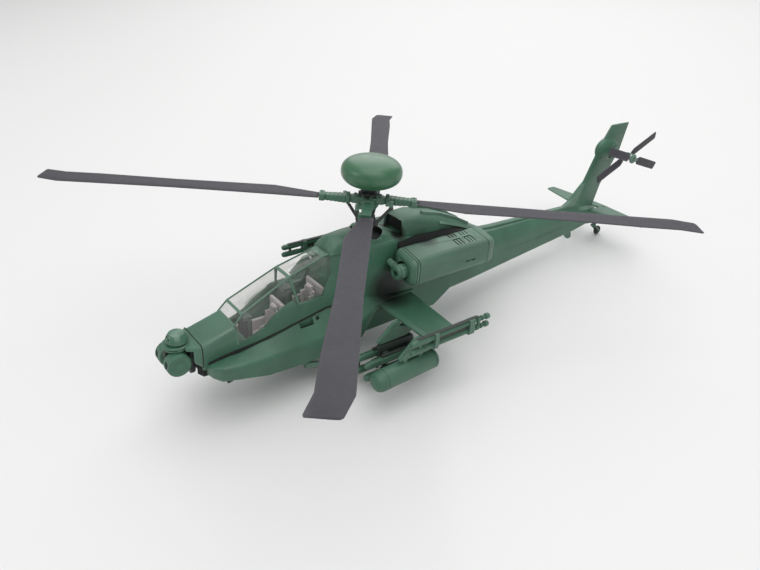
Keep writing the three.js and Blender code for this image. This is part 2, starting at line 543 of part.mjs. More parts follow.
// ---------------------------------------------------------------- tail
function tailFin(grow = 0) {
  const ring = (z, leading, trailing, thickness) => foilRing(
    (y, t) => [t, y, z], leading - grow, trailing + grow, thickness + 2 * grow);
  const [, hubY, hubZ] = TAIL_ROTOR_HUB;
  const bulge = solid(new THREE.SphereGeometry(1, 12, 8).scale(2.2 + grow, 5.2 + grow, 3.4 + grow)
    .translate(0, hubY - 3, hubZ + 1.8));
  const blade = loft([ring(-27, 106.6, 122.2, 2.4), ring(-16.4, 111.4, 124.9, 2.4),
    ring(-3.5, 116.9, 133, 2.4), ring(3.1, 120.1, 134.3, 2.0), ring(8.7, 123.3, 135.5, 1.5)]);
  return cut(join(bulge, blade), fuselageSkin(GAP));
}

function tailGearbox() {
  const [x, y, z] = TAIL_ROTOR_HUB;
  const profile = [[0, 0], [2.6, 0], [2.2, 1.6], [1.5, 3.4], [1.3, x - 4.8], [0, x - 4.8]];
  return cut(turned(profile, [1.5, y, z], [1, 0, 0], 16), tailFin(GAP));
}

function tailRotor() {
  const [x, y, z] = TAIL_ROTOR_HUB;
  const hub = join(bar([x - 2.9, y, z], [x + 2.3, y, z], 0.7), bar([x - 2.8, y, z], [x - 2.2, y, z], 1.4));
  const pair = (offset, degrees) => {
    const blade = (turn) => {
      const half = TAIL_BLADE_CHORD / 2;
      const outline = [[1.6, -0.6], [4.4, -half], [TAIL_ROTOR_RADIUS, -half],
        [TAIL_ROTOR_RADIUS, half], [4.4, half], [1.6, 0.6]];
      const shape = new THREE.Shape(outline.map(([a, b]) => new THREE.Vector2(a, b)));
      const plate = new THREE.ExtrudeGeometry(shape, { depth: 0.6, bevelEnabled: false });
      plate.translate(0, 0, -0.3).rotateX(THREE.MathUtils.degToRad(12));
      return solid(plate.rotateZ(turn));
    };
    const centre = solid(new THREE.CylinderGeometry(1.9, 1.9, 1, 16).rotateX(Math.PI / 2));
    const flat = geometryOf(join(blade(0), blade(Math.PI), centre));
    const axes = new THREE.Matrix4().makeBasis(
      new THREE.Vector3(0, 1, 0), new THREE.Vector3(0, 0, 1), new THREE.Vector3(1, 0, 0));
    flat.rotateZ(THREE.MathUtils.degToRad(degrees)).applyMatrix4(axes).translate(x + offset, y, z);
    return cut(solid(flat), bar([x - 3, y, z], [x + 3, y, z], 0.7 + GAP));
  };
  add('tail_rotor_hub', hub, DARK);
  add('tail_blades_outer', pair(TAIL_PAIR_SPACING / 2 + 0.4, TAIL_PAIR_ANGLES[0]), BLADE_GREY);
  add('tail_blades_inner', pair(-TAIL_PAIR_SPACING / 2 + 0.2, TAIL_PAIR_ANGLES[1]), BLADE_GREY);
}

function stabilator() {
  const ring = (x, leading, trailing, thickness) => foilRing(
    (y, t) => [x, y, STABILATOR_Z + t], leading, trailing, thickness);
  const slab = loft([ring(-STABILATOR_HALF_SPAN, 123, 127.9, 0.9), ring(-2, 117.6, 129.8, 1.5),
    ring(2, 117.6, 129.8, 1.5), ring(STABILATOR_HALF_SPAN, 123, 127.9, 0.9)]);
  const pin = bar([-3.4, STABILATOR_PIVOT_Y, STABILATOR_Z], [3.4, STABILATOR_PIVOT_Y, STABILATOR_Z], 0.55);
  return join(cut(slab, block([-2.6, 2.6], [110, 124.6], [-40, -20])), pin);
}

// A small blade aerial under the end of the boom.
function boomAntenna() {
  const outline = [[107, -34], [109.4, -34], [110.9, -38.8], [109.2, -38.8]];
  return cut(sidePlate(outline, -0.35, 0.35), fuselageSkin(GAP));
}

function addTail() {
  add('tail_fin', tailFin(), GREEN);
  add('boom_antenna', boomAntenna(), GREEN);
  add('tail_gearbox', tailGearbox(), GREEN);
  tailRotor();
  add('stabilator', stabilator(), GREEN);
}

// ---------------------------------------------------------------- main rotor
function rotorBlade() {
  const opening = (r, end) => Math.min((r - BLADE_ROOT) / (end - BLADE_ROOT), 1);
  const sweep = (r) => BLADE_SWEEP * Math.max(r - BLADE_SWEEP_START, 0) / (ROTOR_RADIUS - BLADE_SWEEP_START);
  const droop = (r) => BLADE_DROOP * ((r - BLADE_ROOT) / (ROTOR_RADIUS - BLADE_ROOT)) ** 2;
  const leading = (r) => 1.2 - 1.1 * opening(r, BLADE_TAPER_END) - sweep(r);
  const flare = (r) => Math.min(Math.max(r - BLADE_TAPER_END, 0) / (BLADE_FLARE_END - BLADE_TAPER_END), 1);
  const trailing = (r) => -2.6 - (BLADE_CHORD - 3.7) * opening(r, BLADE_FULL) - flare(r) - 0.75 * sweep(r);
  const stations = [BLADE_ROOT, BLADE_FULL, BLADE_TAPER_END, BLADE_FLARE_END, BLADE_SWEEP_START, ROTOR_RADIUS];
  return loft(stations.map((r) => foilRing(
    (y, t) => [r, y, t - droop(r)], leading(r), trailing(r), BLADE_THICKNESS)));
}

function rotorArm() {
  return join(
    bar([2, 0, 0], [14, 0, 0], 1.2, 1.2, 10), bar([5.7, 0, 0], [6.6, 0, 0], 1.8, 1.8, 12),
    bar([13.5, 0, 0], [14.3, 0, 0], 1.8, 1.8, 12), block([10.8, BLADE_ROOT - GAP], [-2.2, 0.9], [-1.1, 1.1]));
}

function addMainRotor() {
  const turn = (shape, k, off = 0) => solid(geometryOf(shape).toNonIndexed()
    .rotateZ(THREE.MathUtils.degToRad(FIRST_BLADE_ANGLE + 90 * k + off)));
  const arms = [0, 1, 2, 3].map((k) => turn(rotorArm(), k));
  const centre = turned(
    [[0, -3], [2.6, -3], [3.6, -1.6], [3.6, 1.4], [2.4, 2.6], [0, 2.6]], [0, 0, 0], [0, 0, 1], 16);
  const bore = bar([0, 0, -30], [0, 0, 6], SUPPORT_RADIUS + GAP, SUPPORT_RADIUS + GAP, 12);
  add('rotor_hub', cut(join(centre, ...arms), bore), GREEN);
  const blade = rotorBlade();
  BLADE_SET.forEach(([along, off], k) => add(
    `main_blade_${k + 1}`, turn(blade.translate([0, along, 0]), k, off), BLADE_GREY));
  add('rotor_shaft', cut(bar([0, 0, -24], [0, 0, -3.3], MAST_RADIUS), bore), DARK);
  add('shaft_retainer', cut(
    bar([0, 0, -22.6], [0, 0, -21], 3.6, 3.6, 20), bar([0, 0, -24], [0, 0, -20], MAST_RADIUS + GAP)), DARK);
  const swashplate = cut(
    join(bar([0, 0, -8.2], [0, 0, -6.6], 3.4, 3.4, 20), bar([0, 0, -6.7], [0, 0, -5.4], 2.6, 2.6, 20)),
    bar([0, 0, -9], [0, 0, -4], MAST_RADIUS + GAP));
  const links = [0, 1, 2, 3].map((k) => turn(bar([2.4, -1.6, -7.4], [5.0, -2.4, -2.6], 0.35, 0.35, 8), k));
  add('swashplate', join(swashplate, ...links), DARK);
  add('mast_base', mastFairing(), GREEN);
  add('radome', radome(), RADOME_GREEN);
}

// Sections of the fairing round the mast: y, base half width, top half width, top z.
const MAST_FAIRING = [
  [-15.8, 4.6, 1.4, -10.9], [-13.6, 5.2, 1.7, -9.3], [-8, 5.5, 2.3, -9], [-3, 5.7, 3.2, -9.2],
  [3, 5.8, 3.4, -9.9], [7, 5.8, 3.2, -11.1], [9.6, 5.6, 2.8, -11.8],
];

// The raised fairing on the deck, with the open well that the mast stands in.
function mastFairing() {
  const foot = -12.3;
  const hump = loft(MAST_FAIRING.map(([y, base, wide, top]) => mirroredRing(y, [
    [0, top], [wide, top - 0.1], [(base + wide) / 2 + 0.3, (top + foot) / 2], [base, foot], [0, foot]])));
  return cut(hump, bar([0, 0, -13], [0, 0, -8], 4.4, 4.4, 24));
}

function radome() {
  const neck = turned([[0, 0], [2.3, 0], [2.9, 2], [2.9, 3.4], [0, 3.4]], [0, 0, 2.9], [0, 0, 1], 16);
  const rod = bar([0, 0, -26], [0, 0, 4], SUPPORT_RADIUS, SUPPORT_RADIUS, 10);
  const foot = bar([0, 0, -26], [0, 0, -24.8], 2.4, 2.4, 16);
  const steps = 8;
  const profile = Array.from({ length: steps + 1 }, (_, i) => {
    const angle = Math.PI * (i / steps - 0.5);
    const across = RADOME_RADIUS * Math.abs(Math.cos(angle)) ** 0.72;
    const up = Math.sign(angle) * Math.abs(Math.sin(angle)) ** 0.9;
    return [i % steps === 0 ? 0 : across, RADOME_HEIGHT / 2 * up];
  });
  return join(neck, rod, foot, turned(profile, [0, RADOME_AFT, RADOME_CENTRE_Z], [0, 0, 1], 24));
}

// ---------------------------------------------------------------- landing gear
// A tyre with a flat facet towards the ground, and the centre of its hub.
function wheel(x, y, radius, width) {
  const [, hubY, hubZ] = fromGround(0, y, radius);
  const facetTurn = NOSE_UP + Math.PI / WHEEL_SIDES;
  const cornerRadius = radius / Math.cos(Math.PI / WHEEL_SIDES);
  const tyre = bar([x - width / 2, hubY, hubZ], [x + width / 2, hubY, hubZ],
    cornerRadius, cornerRadius, WHEEL_SIDES, facetTurn);
  return { tyre, hubY, hubZ };
}

function addLandingGear() {
  const main = wheel(MAIN_WHEEL_X, MAIN_WHEEL_Y, MAIN_WHEEL_RADIUS, MAIN_WHEEL_WIDTH);
  const inner = MAIN_WHEEL_X - MAIN_WHEEL_WIDTH / 2;
  const leg = cut(join(
    bar([10.3, -28.5, -45.3], [inner - 1.3, main.hubY, main.hubZ], 1, 0.8),
    bar([inner - 1.9, main.hubY, main.hubZ], [inner + 1.6, main.hubY, main.hubZ], 0.7),
    bar([inner - 1.4, main.hubY - 2, main.hubZ + 0.8], [9.2, -9.6, -44.6], 0.7)),
  fuselageSkin(GAP), cheek(GAP));
  const tyre = cut(main.tyre, bar([0, main.hubY, main.hubZ], [inner + 2.4, main.hubY, main.hubZ], 1));
  for (const [side, label] of [[1, 'left'], [-1, 'right']]) {
    add(`gear_leg_${label}`, onSide(side, leg), GREEN);
    add(`main_wheel_${label}`, onSide(side, tyre), TYRE_BLACK);
  }
  const tail = wheel(0, TAIL_WHEEL_Y, TAIL_WHEEL_RADIUS, TAIL_WHEEL_WIDTH);
  const pivot = (height) => fromGround(0, TAIL_WHEEL_Y - 3.2, height);
  const strut = cut(
    join(bar([0, 119, -33.2], pivot(7.4), 0.9, 0.8), bar(pivot(8.2), pivot(6.2), 1.1)), fuselageSkin(GAP));
  add('tail_strut', strut, GREEN);
  const [, bridgeY, bridgeZ] = pivot(4.9);
  const arm = (x) => bar([x, bridgeY, bridgeZ], [x, tail.hubY, tail.hubZ], 0.45, 0.45, 8);
  const axle = (reach, radius) => bar([-reach, tail.hubY, tail.hubZ], [reach, tail.hubY, tail.hubZ], radius);
  const bridge = bar([-1.5, bridgeY, bridgeZ], [1.5, bridgeY, bridgeZ], 0.5, 0.5, 8);
  add('tail_fork', join(
    bar(pivot(5.9), pivot(4.5), 0.9), bridge, arm(1.3), arm(-1.3), axle(1.3, 0.4)), GREEN);
  add('tail_wheel', cut(tail.tyre, axle(2, 0.7)), TYRE_BLACK);
}

// ---------------------------------------------------------------- gun
function addGun() {
  const ear = (x) => block(x, [GUN_PIVOT_Y - 1.4, GUN_PIVOT_Y + 1.4], [GUN_PIVOT_Z - 1, -45]);
  const ring = bar([0, GUN_PIVOT_Y, -45.4], [0, GUN_PIVOT_Y, -44.1], 2.8, 2.8, 20);
  add('gun_mount', cut(join(ring, ear([1.7, 2.6]), ear([-2.6, -1.7])), fuselageSkin(GAP)), GREEN);
  const pivot = new THREE.Vector3(0, GUN_PIVOT_Y, GUN_PIVOT_Z);
  const muzzle = new THREE.Vector3(0, GUN_MUZZLE_Y, GUN_MUZZLE_Z);
  const alongBarrel = (from, to, radius) => bar(
    pivot.clone().lerp(muzzle, from).toArray(), pivot.clone().lerp(muzzle, to).toArray(), radius, radius, 10);
  add('gun', join(
    block([-1.3, 1.3], [GUN_PIVOT_Y - 3.4, GUN_PIVOT_Y + 5.4], [GUN_PIVOT_Z - 1.3, GUN_PIVOT_Z + 1.3]),
    alongBarrel(0, 0.36, 0.8), alongBarrel(0, 1, 0.42), alongBarrel(0.93, 1, 0.62)), DARK);
}

addFuselage();
addCanopy();
addCockpit();
addSights();
addEngines();
addWings();
addTail();
addMainRotor();
addLandingGear();
addGun();

// ---------------------------------------------------------------- assembly
const airframe = new THREE.Group();
for (const [name, shape, material] of pieces) {
  const mesh = new THREE.Mesh(geometryOf(shape), material);
  mesh.name = name;
  airframe.add(mesh);
}
airframe.rotation.x = -NOSE_UP;
airframe.position.z = HUB_HEIGHT;

const model = new THREE.Group();
model.add(airframe);
model.updateMatrixWorld(true);
const extent = new THREE.Box3().setFromObject(model, true);
model.position.y = -(extent.min.y + extent.max.y) / 2;

export default model;
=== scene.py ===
"""Two-seat attack helicopter, 1:72 display model: the looks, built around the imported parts.

Shapes are drawn in the airframe's own millimetres, with the origin at the rotor hub: x to port,
y aft and z along the mast. AIRFRAME puts them in the frame, from the mast's joint.
"""

import json
import math

import bmesh
import bpy
from mathutils import Matrix, Quaternion, Vector


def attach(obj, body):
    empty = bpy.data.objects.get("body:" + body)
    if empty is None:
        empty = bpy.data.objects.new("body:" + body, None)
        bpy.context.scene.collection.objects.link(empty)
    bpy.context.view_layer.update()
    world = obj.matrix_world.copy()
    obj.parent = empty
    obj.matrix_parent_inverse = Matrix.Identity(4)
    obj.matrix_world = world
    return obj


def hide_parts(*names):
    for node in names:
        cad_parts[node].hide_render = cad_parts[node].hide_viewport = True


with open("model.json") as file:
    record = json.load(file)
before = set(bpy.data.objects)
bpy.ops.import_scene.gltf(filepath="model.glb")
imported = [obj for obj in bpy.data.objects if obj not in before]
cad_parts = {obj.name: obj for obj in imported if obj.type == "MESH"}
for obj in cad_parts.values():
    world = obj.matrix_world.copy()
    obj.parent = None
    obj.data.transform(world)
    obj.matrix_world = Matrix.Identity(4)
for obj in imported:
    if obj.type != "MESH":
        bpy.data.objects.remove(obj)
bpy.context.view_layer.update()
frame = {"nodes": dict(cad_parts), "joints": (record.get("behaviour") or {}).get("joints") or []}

# ---------------------------------------------------------------- the airframe's own frame
MM = 0.001
JOINTS = {joint["name"]: joint for joint in frame["joints"]}
MAST = JOINTS["main_rotor_spin"]
HUB = Vector(MAST["pos_m"])
UP = Vector(MAST["axis"]).normalized()
PORT = Vector((1, 0, 0))
AFT = UP.cross(PORT)
AXES = Matrix((PORT, AFT, UP)).transposed().to_4x4()
AIRFRAME = Matrix.Translation(HUB) @ AXES @ Matrix.Scale(MM, 4)
TO_AIRFRAME = AIRFRAME.inverted()


def pivot(joint):
    """A joint's centre in airframe millimetres."""
    return TO_AIRFRAME @ Vector(JOINTS[joint]["pos_m"])


# ---------------------------------------------------------------- shapes: (points, faces)
SIDES = ((1, "left"), (-1, "right"))
# An edge sharper than SHARP is rounded, and faces that differ by less than FLAT are merged.
SHARP, FLAT = math.radians(28), math.radians(0.6)
# How close two points are that count as one: in airframe millimetres, and in the CAD's metres.
BOOLEAN_WELD, CAD_WELD = 0.0004, 1e-6


def loft(rings):
    """A closed skin through rings that all have the same number of points."""
    count = len(rings[0])
    points = [Vector(p) for ring in rings for p in ring]
    faces = [tuple(reversed(range(count)))]
    for r in range(len(rings) - 1):
        for i in range(count):
            a, b = r * count + i, r * count + (i + 1) % count
            faces.append((a, b, b + count, a + count))
    faces.append(tuple(range(len(points) - count, len(points))))
    return points, faces


def turned(profile, origin=(0, 0, 0), direction=(0, 0, 1), sides=32, hollow=False):
    """A turned shape: profile points are (radius, distance along the axis).

    A hollow shape is a ring, whose last point joins its first.
    """
    turn = Vector((0, 0, 1)).rotation_difference(Vector(direction))
    points, rows = [], []
    for radius, along in profile:
        spots = sides if radius > 0 else 1
        rows.append([len(points) + k for k in range(spots)])
        for k in range(spots):
            angle = 2 * math.pi * k / sides
            local = Vector((radius * math.cos(angle), radius * math.sin(angle), along))
            points.append(Vector(origin) + turn @ local)
    faces = []
    for low, high in zip(rows, rows[1:] + ([rows[0]] if hollow else [])):
        for k in range(sides):
            n = (k + 1) % sides
            if len(low) == 1 and len(high) > 1:
                faces.append((low[0], high[n], high[k]))
            elif len(high) == 1 and len(low) > 1:
                faces.append((low[k], low[n], high[0]))
            elif len(low) > 1:
                faces.append((low[k], low[n], high[n], high[k]))
    return points, faces


def bar(start, end, radius, end_radius=None, sides=20):
    """A round bar from one point to another."""
    along = Vector(end) - Vector(start)
    last = radius if end_radius is None else end_radius
    profile = [(0, 0), (radius, 0), (last, along.length), (0, along.length)]
    return turned(profile, start, along.normalized(), sides)


def pin(centre, x, radius, sides=20):
    """A round bar across the airframe through a centre, between two x values."""
    return bar((x[0], centre.y, centre.z), (x[1], centre.y, centre.z), radius, sides=sides)


def egg(radius, half, steps, across_power=1, rise_power=1):
    """The profile of an ellipsoid for turned; powers below 1 make it fuller."""
    profile = []
    for i in range(steps + 1):
        angle = math.pi * (i / steps - 0.5)
        across = radius * abs(math.cos(angle)) ** across_power
        rise = math.copysign(abs(math.sin(angle)) ** rise_power, angle)
        profile.append((0 if i in (0, steps) else across, half * rise))
    return profile


def block(x, y, z):
    """A box between two corners."""
    ring = [(x[0], y[0]), (x[1], y[0]), (x[1], y[1]), (x[0], y[1])]
    return loft([[(a, b, height) for a, b in ring] for height in z])


def side_plate(outline, x):
    """A flat plate with an outline of (y, z) points, between two x values."""
    return loft([[(side, a, b) for a, b in outline] for side in x])


def cross_plate(outline, y, middle=(0, 0)):
    """A flat plate with an outline of (x, z) points round a middle, between two y values."""
    return loft([[(middle[0] + a, along, middle[1] + b) for a, b in outline] for along in y])


def rectangle(wide, high):
    """The corners of a rectangle round the origin, from its half width and half height."""
    return [(wide, high), (-wide, high), (-wide, -high), (wide, -high)]


def rounded(outline, radius, steps=4):
    """The outline with each corner rounded, so that it always has the same number of points."""
    count = len(outline)
    made = []
    for i in range(count):
        here = Vector(outline[i])
        before = Vector(outline[i - 1]) - here
        after = Vector(outline[(i + 1) % count]) - here
        start = here + before.normalized() * min(radius, before.length * 0.45)
        end = here + after.normalized() * min(radius, after.length * 0.45)
        for k in range(steps + 1):
            t = k / steps
            made.append(start * (1 - t) ** 2 + here * 2 * t * (1 - t) + end * t ** 2)
    return made


def joined(*shapes):
    """Several shapes as one."""
    points, faces = [], []
    for shape_points, shape_faces in shapes:
        start = len(points)
        points += shape_points
        faces += [tuple(start + i for i in face) for face in shape_faces]
    return points, faces


def mirrored(shape):
    """The same shape on the other side."""
    points, faces = shape
    return [Vector((-p.x, p.y, p.z)) for p in points], [tuple(reversed(f)) for f in faces]


def on_side(side, shape):
    """A port shape, or its mirror image where side is -1."""
    return shape if side > 0 else mirrored(shape)


def moved(shape, matrix):
    """A shape turned and moved by a matrix."""
    points, faces = shape
    return [matrix @ Vector(p) for p in points], faces


def solid_mesh(name, points, faces, triangles=False):
    """A mesh with its faces turned outward."""
    mesh = bpy.data.meshes.new(name)
    mesh.from_pydata(points, [], faces)
    work = bmesh.new()
    work.from_mesh(mesh)
    bmesh.ops.recalc_face_normals(work, faces=work.faces)
    if triangles:
        bmesh.ops.triangulate(work, faces=work.faces)
    work.to_mesh(mesh)
    work.free()
    return mesh


def placed(name, data):
    """A new object in the scene."""
    made = bpy.data.objects.new(name, data)
    bpy.context.scene.collection.objects.link(made)
    return made


def sketch(shape):
    """A shape as a bare mesh object of triangles, in airframe millimetres."""
    return placed("sketch", solid_mesh("sketch", *shape, triangles=True))


def combined(operation, shape, *tools):
    """A boolean of solids: DIFFERENCE, INTERSECT or UNION."""
    body = sketch(shape)
    cutters = [sketch(tool) for tool in tools]
    for cutter in cutters:
        step = body.modifiers.new("cut", "BOOLEAN")
        step.operation = operation
        step.solver = "EXACT"
        step.object = cutter
    bpy.context.view_layer.update()
    result = body.evaluated_get(bpy.context.evaluated_depsgraph_get()).to_mesh()
    made = flat_faces(result, BOOLEAN_WELD)
    for spent in [body, *cutters]:
        bpy.data.meshes.remove(spent.data)
    return made


def cut(shape, *tools):
    """A shape with tools taken away from it."""
    return combined("DIFFERENCE", shape, *tools)


def flat_faces(mesh, weld):
    """A mesh as a shape, with its points welded and its flat faces merged."""
    work = bmesh.new()
    work.from_mesh(mesh)
    bmesh.ops.remove_doubles(work, verts=work.verts, dist=weld)
    bmesh.ops.dissolve_limit(work, angle_limit=FLAT, verts=work.verts, edges=work.edges)
    work.verts.index_update()
    points = [v.co.copy() for v in work.verts]
    faces = [tuple(v.index for v in f.verts) for f in work.faces]
    work.free()
    return points, faces


def cad_shape(node):
    """A CAD node's own solid in airframe millimetres."""
    points, faces = flat_faces(frame["nodes"][node].data, CAD_WELD)
    return [TO_AIRFRAME @ p for p in points], faces


def piece(name, shape, finish, body="airframe", nodes=(), edge=0.12, extra=()):
    """A finished piece: its mesh, rounded edges, finishes, body and the CAD nodes it stands for.

    finish is (material, slot); extra holds (shape, material) pairs that are part of the piece.
    """
    points, faces = joined(shape, *[more for more, _ in extra])
    mesh = solid_mesh(name, [AIRFRAME @ Vector(p) for p in points], faces)
    mesh.materials.append(finish[0])
    first = len(shape[1])
    for more, material in extra:
        if material.name not in mesh.materials:
            mesh.materials.append(material)
        index = mesh.materials.find(material.name)
        for k in range(first, first + len(more[1])):
            mesh.polygons[k].material_index = index
        first += len(more[1])
    mesh.shade_smooth()
    made = placed(name, mesh)
    if edge:
        soften(made, edge)
    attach(made, body)
    if nodes:
        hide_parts(*nodes)


def soften(made, edge):
    """Rounds every edge sharper than SHARP."""
    bevel = made.modifiers.new("edges", "BEVEL")
    bevel.width = edge * MM
    bevel.segments = 2
    bevel.limit_method = "ANGLE"
    bevel.angle_limit = SHARP
    bevel.harden_normals = True
    bevel.use_clamp_overlap = True


# ---------------------------------------------------------------- finishes
# The Mix node's sockets for colours.
MIX_FACTOR, MIX_FIRST, MIX_SECOND, MIX_RESULT = 0, 6, 7, 2
# The part of the clear plastic's light that scatters on its surface.
HAZE = 0.025


def new_material(name):
    """A node material and its node tree."""
    material = bpy.data.materials.new(name)
    material.use_nodes = True
    return material, material.node_tree


def feed(tree, socket, value):
    """Gives a socket another node's output, a number, a point or a colour."""
    if isinstance(value, bpy.types.NodeSocket):
        tree.links.new(value, socket)
    else:
        socket.default_value = (*value, 1) if isinstance(value, tuple) else value


def wire(tree, kind, settings=None, numbered=(), **named):
    """A shader node with its settings and inputs, which are values or other nodes' outputs."""
    node = tree.nodes.new(kind)
    for name, value in (settings or {}).items():
        setattr(node, name, value)
    for key, value in [*enumerate(numbered), *named.items()]:
        feed(tree, node.inputs[key], value)
    return node


def ramp(tree, factor, stops):
    """A colour ramp from (position, grey or colour) stops."""
    node = wire(tree, "ShaderNodeValToRGB", Fac=factor)
    elements = node.color_ramp.elements
    while len(elements) < len(stops):
        elements.new(0.5)
    for element, (place, value) in zip(elements, stops):
        element.position = place
        element.color = (*value, 1) if isinstance(value, tuple) else (value, value, value, 1)
    return node.outputs["Color"]


def mixed(tree, factor, first, second, blend="MIX"):
    """Two colours, mixed or blended."""
    node = wire(tree, "ShaderNodeMix", {"data_type": "RGBA", "blend_type": blend})
    for number, value in ((MIX_FACTOR, factor), (MIX_FIRST, first), (MIX_SECOND, second)):
        feed(tree, node.inputs[number], value)
    return node.outputs[MIX_RESULT]


def scaled(colour, by):
    """A colour made lighter or darker, and no brighter than white."""
    return tuple(min(1.0, part * by) for part in colour)


def painted_shadow(tree, place, spot, reach):
    """A soft painted shadow on both sides of the airframe round a spot, in airframe millimetres."""
    parts = wire(tree, "ShaderNodeSeparateXYZ", Vector=place).outputs
    across = wire(tree, "ShaderNodeMath", {"operation": "ABSOLUTE"}, [parts["X"]])
    folded = wire(tree, "ShaderNodeCombineXYZ", X=across.outputs[0], Y=parts["Y"], Z=parts["Z"])
    centre = AIRFRAME @ Vector(spot)
    gap = wire(tree, "ShaderNodeVectorMath", {"operation": "DISTANCE"}, [folded.outputs[0], centre])
    near = wire(tree, "ShaderNodeMath", {"operation": "DIVIDE"}, [gap.outputs["Value"], reach * MM])
    return ramp(tree, near.outputs[0], [(0.45, 0.06), (0.75, 0.5), (1.0, 1.0)])


def painted(name, colour, rough=0.45, mottle=0.16, edge=0.45, grain=0.35, coat=0.0, sheen=0.04, shadows=()):
    """Matt model paint: soft mottling, painted highlights on edges, painted shade in hollows and a fine
    grain.

    shadows holds the (spot, reach) of each painted shadow on it.
    """
    material, tree = new_material(name)
    place = tree.nodes.new("ShaderNodeTexCoord").outputs["Object"]
    broad = wire(tree, "ShaderNodeTexNoise", Vector=place, Scale=95.0, Detail=4.0, Roughness=0.6)
    fine = wire(tree, "ShaderNodeTexNoise", Vector=place, Scale=900.0, Detail=3.0, Roughness=0.55)
    bend = tree.nodes.new("ShaderNodeNewGeometry").outputs["Pointiness"]
    darker, lighter = scaled(colour, 1 - mottle), scaled(colour, 1 + mottle)
    paint = ramp(tree, broad.outputs["Fac"], [(0.3, darker), (0.7, lighter)])
    speck = ramp(tree, fine.outputs["Fac"], [(0.3, 0.94), (0.7, 1.05)])
    paint = mixed(tree, 1.0, paint, speck, "MULTIPLY")
    # Painted highlight: sharp outer edges are made lighter.
    edge_highlight = ramp(tree, bend, [(0.52, 0.0), (0.60, edge)])
    pale = tuple(part + 0.16 * (1 - part) for part in scaled(colour, 1.5))
    paint = mixed(tree, edge_highlight, paint, pale)
    # Painted shade: hollows and inner corners are made darker.
    shade = ramp(tree, bend, [(0.40, 0.62), (0.485, 1.0)])
    paint = mixed(tree, 1.0, paint, shade, "MULTIPLY")
    # Painted shadows: a soft dark patch round each spot.
    for spot, reach in shadows:
        paint = mixed(tree, 1.0, paint, painted_shadow(tree, place, spot, reach), "MULTIPLY")
    gloss = ramp(tree, fine.outputs["Fac"], [(0.25, rough - 0.07), (0.75, rough + 0.07)])
    tiny = wire(tree, "ShaderNodeTexNoise", Vector=place, Scale=2600.0, Detail=2.0)
    bump = wire(tree, "ShaderNodeBump", Height=tiny.outputs["Fac"], Strength=grain, Distance=0.00004)
    inputs = {
        "Base Color": paint, "Roughness": gloss, "Normal": bump.outputs["Normal"], "Specular IOR Level": 0.55,
        "Sheen Weight": sheen, "Sheen Roughness": 0.45, "Coat Weight": coat, "Coat Roughness": 0.3,
    }
    for socket, value in inputs.items():
        feed(tree, tree.nodes["Principled BSDF"].inputs[socket], value)
    return material


def clear(name):
    """Clear moulded plastic: it mirrors a little, more at a slant, and lets the rest through."""
    material, tree = new_material(name)
    tree.nodes.remove(tree.nodes["Principled BSDF"])
    place = tree.nodes.new("ShaderNodeTexCoord").outputs["Object"]
    waves = wire(tree, "ShaderNodeTexNoise", Vector=place, Scale=160.0, Detail=1.0)
    bump = wire(tree, "ShaderNodeBump", Height=waves.outputs["Fac"], Strength=0.1, Distance=0.0001)
    through = wire(tree, "ShaderNodeBsdfTransparent", Color=(0.98, 0.98, 0.975)).outputs["BSDF"]
    mirror = wire(tree, "ShaderNodeBsdfGlossy", Roughness=0.08, Normal=bump.outputs["Normal"]).outputs["BSDF"]
    haze = wire(tree, "ShaderNodeBsdfDiffuse", Color=(0.62, 0.60, 0.61)).outputs["BSDF"]
    facing = wire(tree, "ShaderNodeLayerWeight", Normal=bump.outputs["Normal"]).outputs["Facing"]
    slant = ramp(tree, facing, [(0.0, 0.03), (0.5, 0.05), (0.8, 0.2), (1.0, 0.9)])
    glass = wire(tree, "ShaderNodeMixShader", numbered=[slant, through, mirror])
    hazy = wire(tree, "ShaderNodeMixShader", numbered=[HAZE, glass.outputs["Shader"], haze])
    feed(tree, tree.nodes["Material Output"].inputs["Surface"], hazy.outputs["Shader"])
    return material


# Finishes are (material, slot); a bare material goes on a part of a piece.
# Painted soft shadow beside the engine nose, in the trough along the cowl and round the mast.
SHADOWS = [((8.5, 4.5, -28.5), 9), ((8, 18, -17), 5.5), ((7.6, 28, -17.5), 5), ((4.2, 9.5, -12.5), 3.4)]
GREEN = (painted("matt_green", (0.040, 0.124, 0.077), shadows=SHADOWS), "airframe_green")
STORES = (painted("stores_green", (0.038, 0.115, 0.070)), "stores_green")
# Near-black green: painted shade for the missile rack under the wing; the tip launchers' web and plate use it
# too.
RACK = (painted("rack_shadow_green", (0.010, 0.022, 0.015), rough=0.6, edge=0.2), "stores_green")
DOME_PAINT = painted("radome_green", (0.034, 0.132, 0.062), rough=0.36, mottle=0.08, grain=0.15, coat=0.25)
RADOME = (DOME_PAINT, "radome_green")
BLADE = (painted("blade_grey", (0.036, 0.0345, 0.0445), rough=0.66, mottle=0.10, edge=0.25), "blade_grey")
DARK = (painted("dark_plastic", (0.010, 0.016, 0.013), rough=0.55, edge=0.3), "dark_plastic")
# Near black: painted shade in recesses, gaps, wells, over the cheeks and under the nose; also the screens and
# nose seam.
DEEP = painted("deep_recess", (0.004, 0.006, 0.005), rough=0.8, edge=0.0, sheen=0.0)
INTERIOR = (painted("cockpit_grey", (0.60, 0.56, 0.57), rough=0.7, mottle=0.1), "cockpit_grey")
SEAT = (painted("seat_fabric", (0.45, 0.41, 0.42), rough=0.8, mottle=0.2), "seat_green")
TYRE = (painted("tyre_black", (0.017, 0.017, 0.017), rough=0.8, edge=0.2), "tyre_black")
CLEAR = (clear("clear_styrene"), "canopy_clear")
CONSOLE = (painted("console_green", (0.018, 0.045, 0.032), rough=0.6), "dark_plastic")
LENS = painted("sight_lens", (0.012, 0.014, 0.02), rough=0.12, edge=0.0, grain=0.0, coat=0.6)

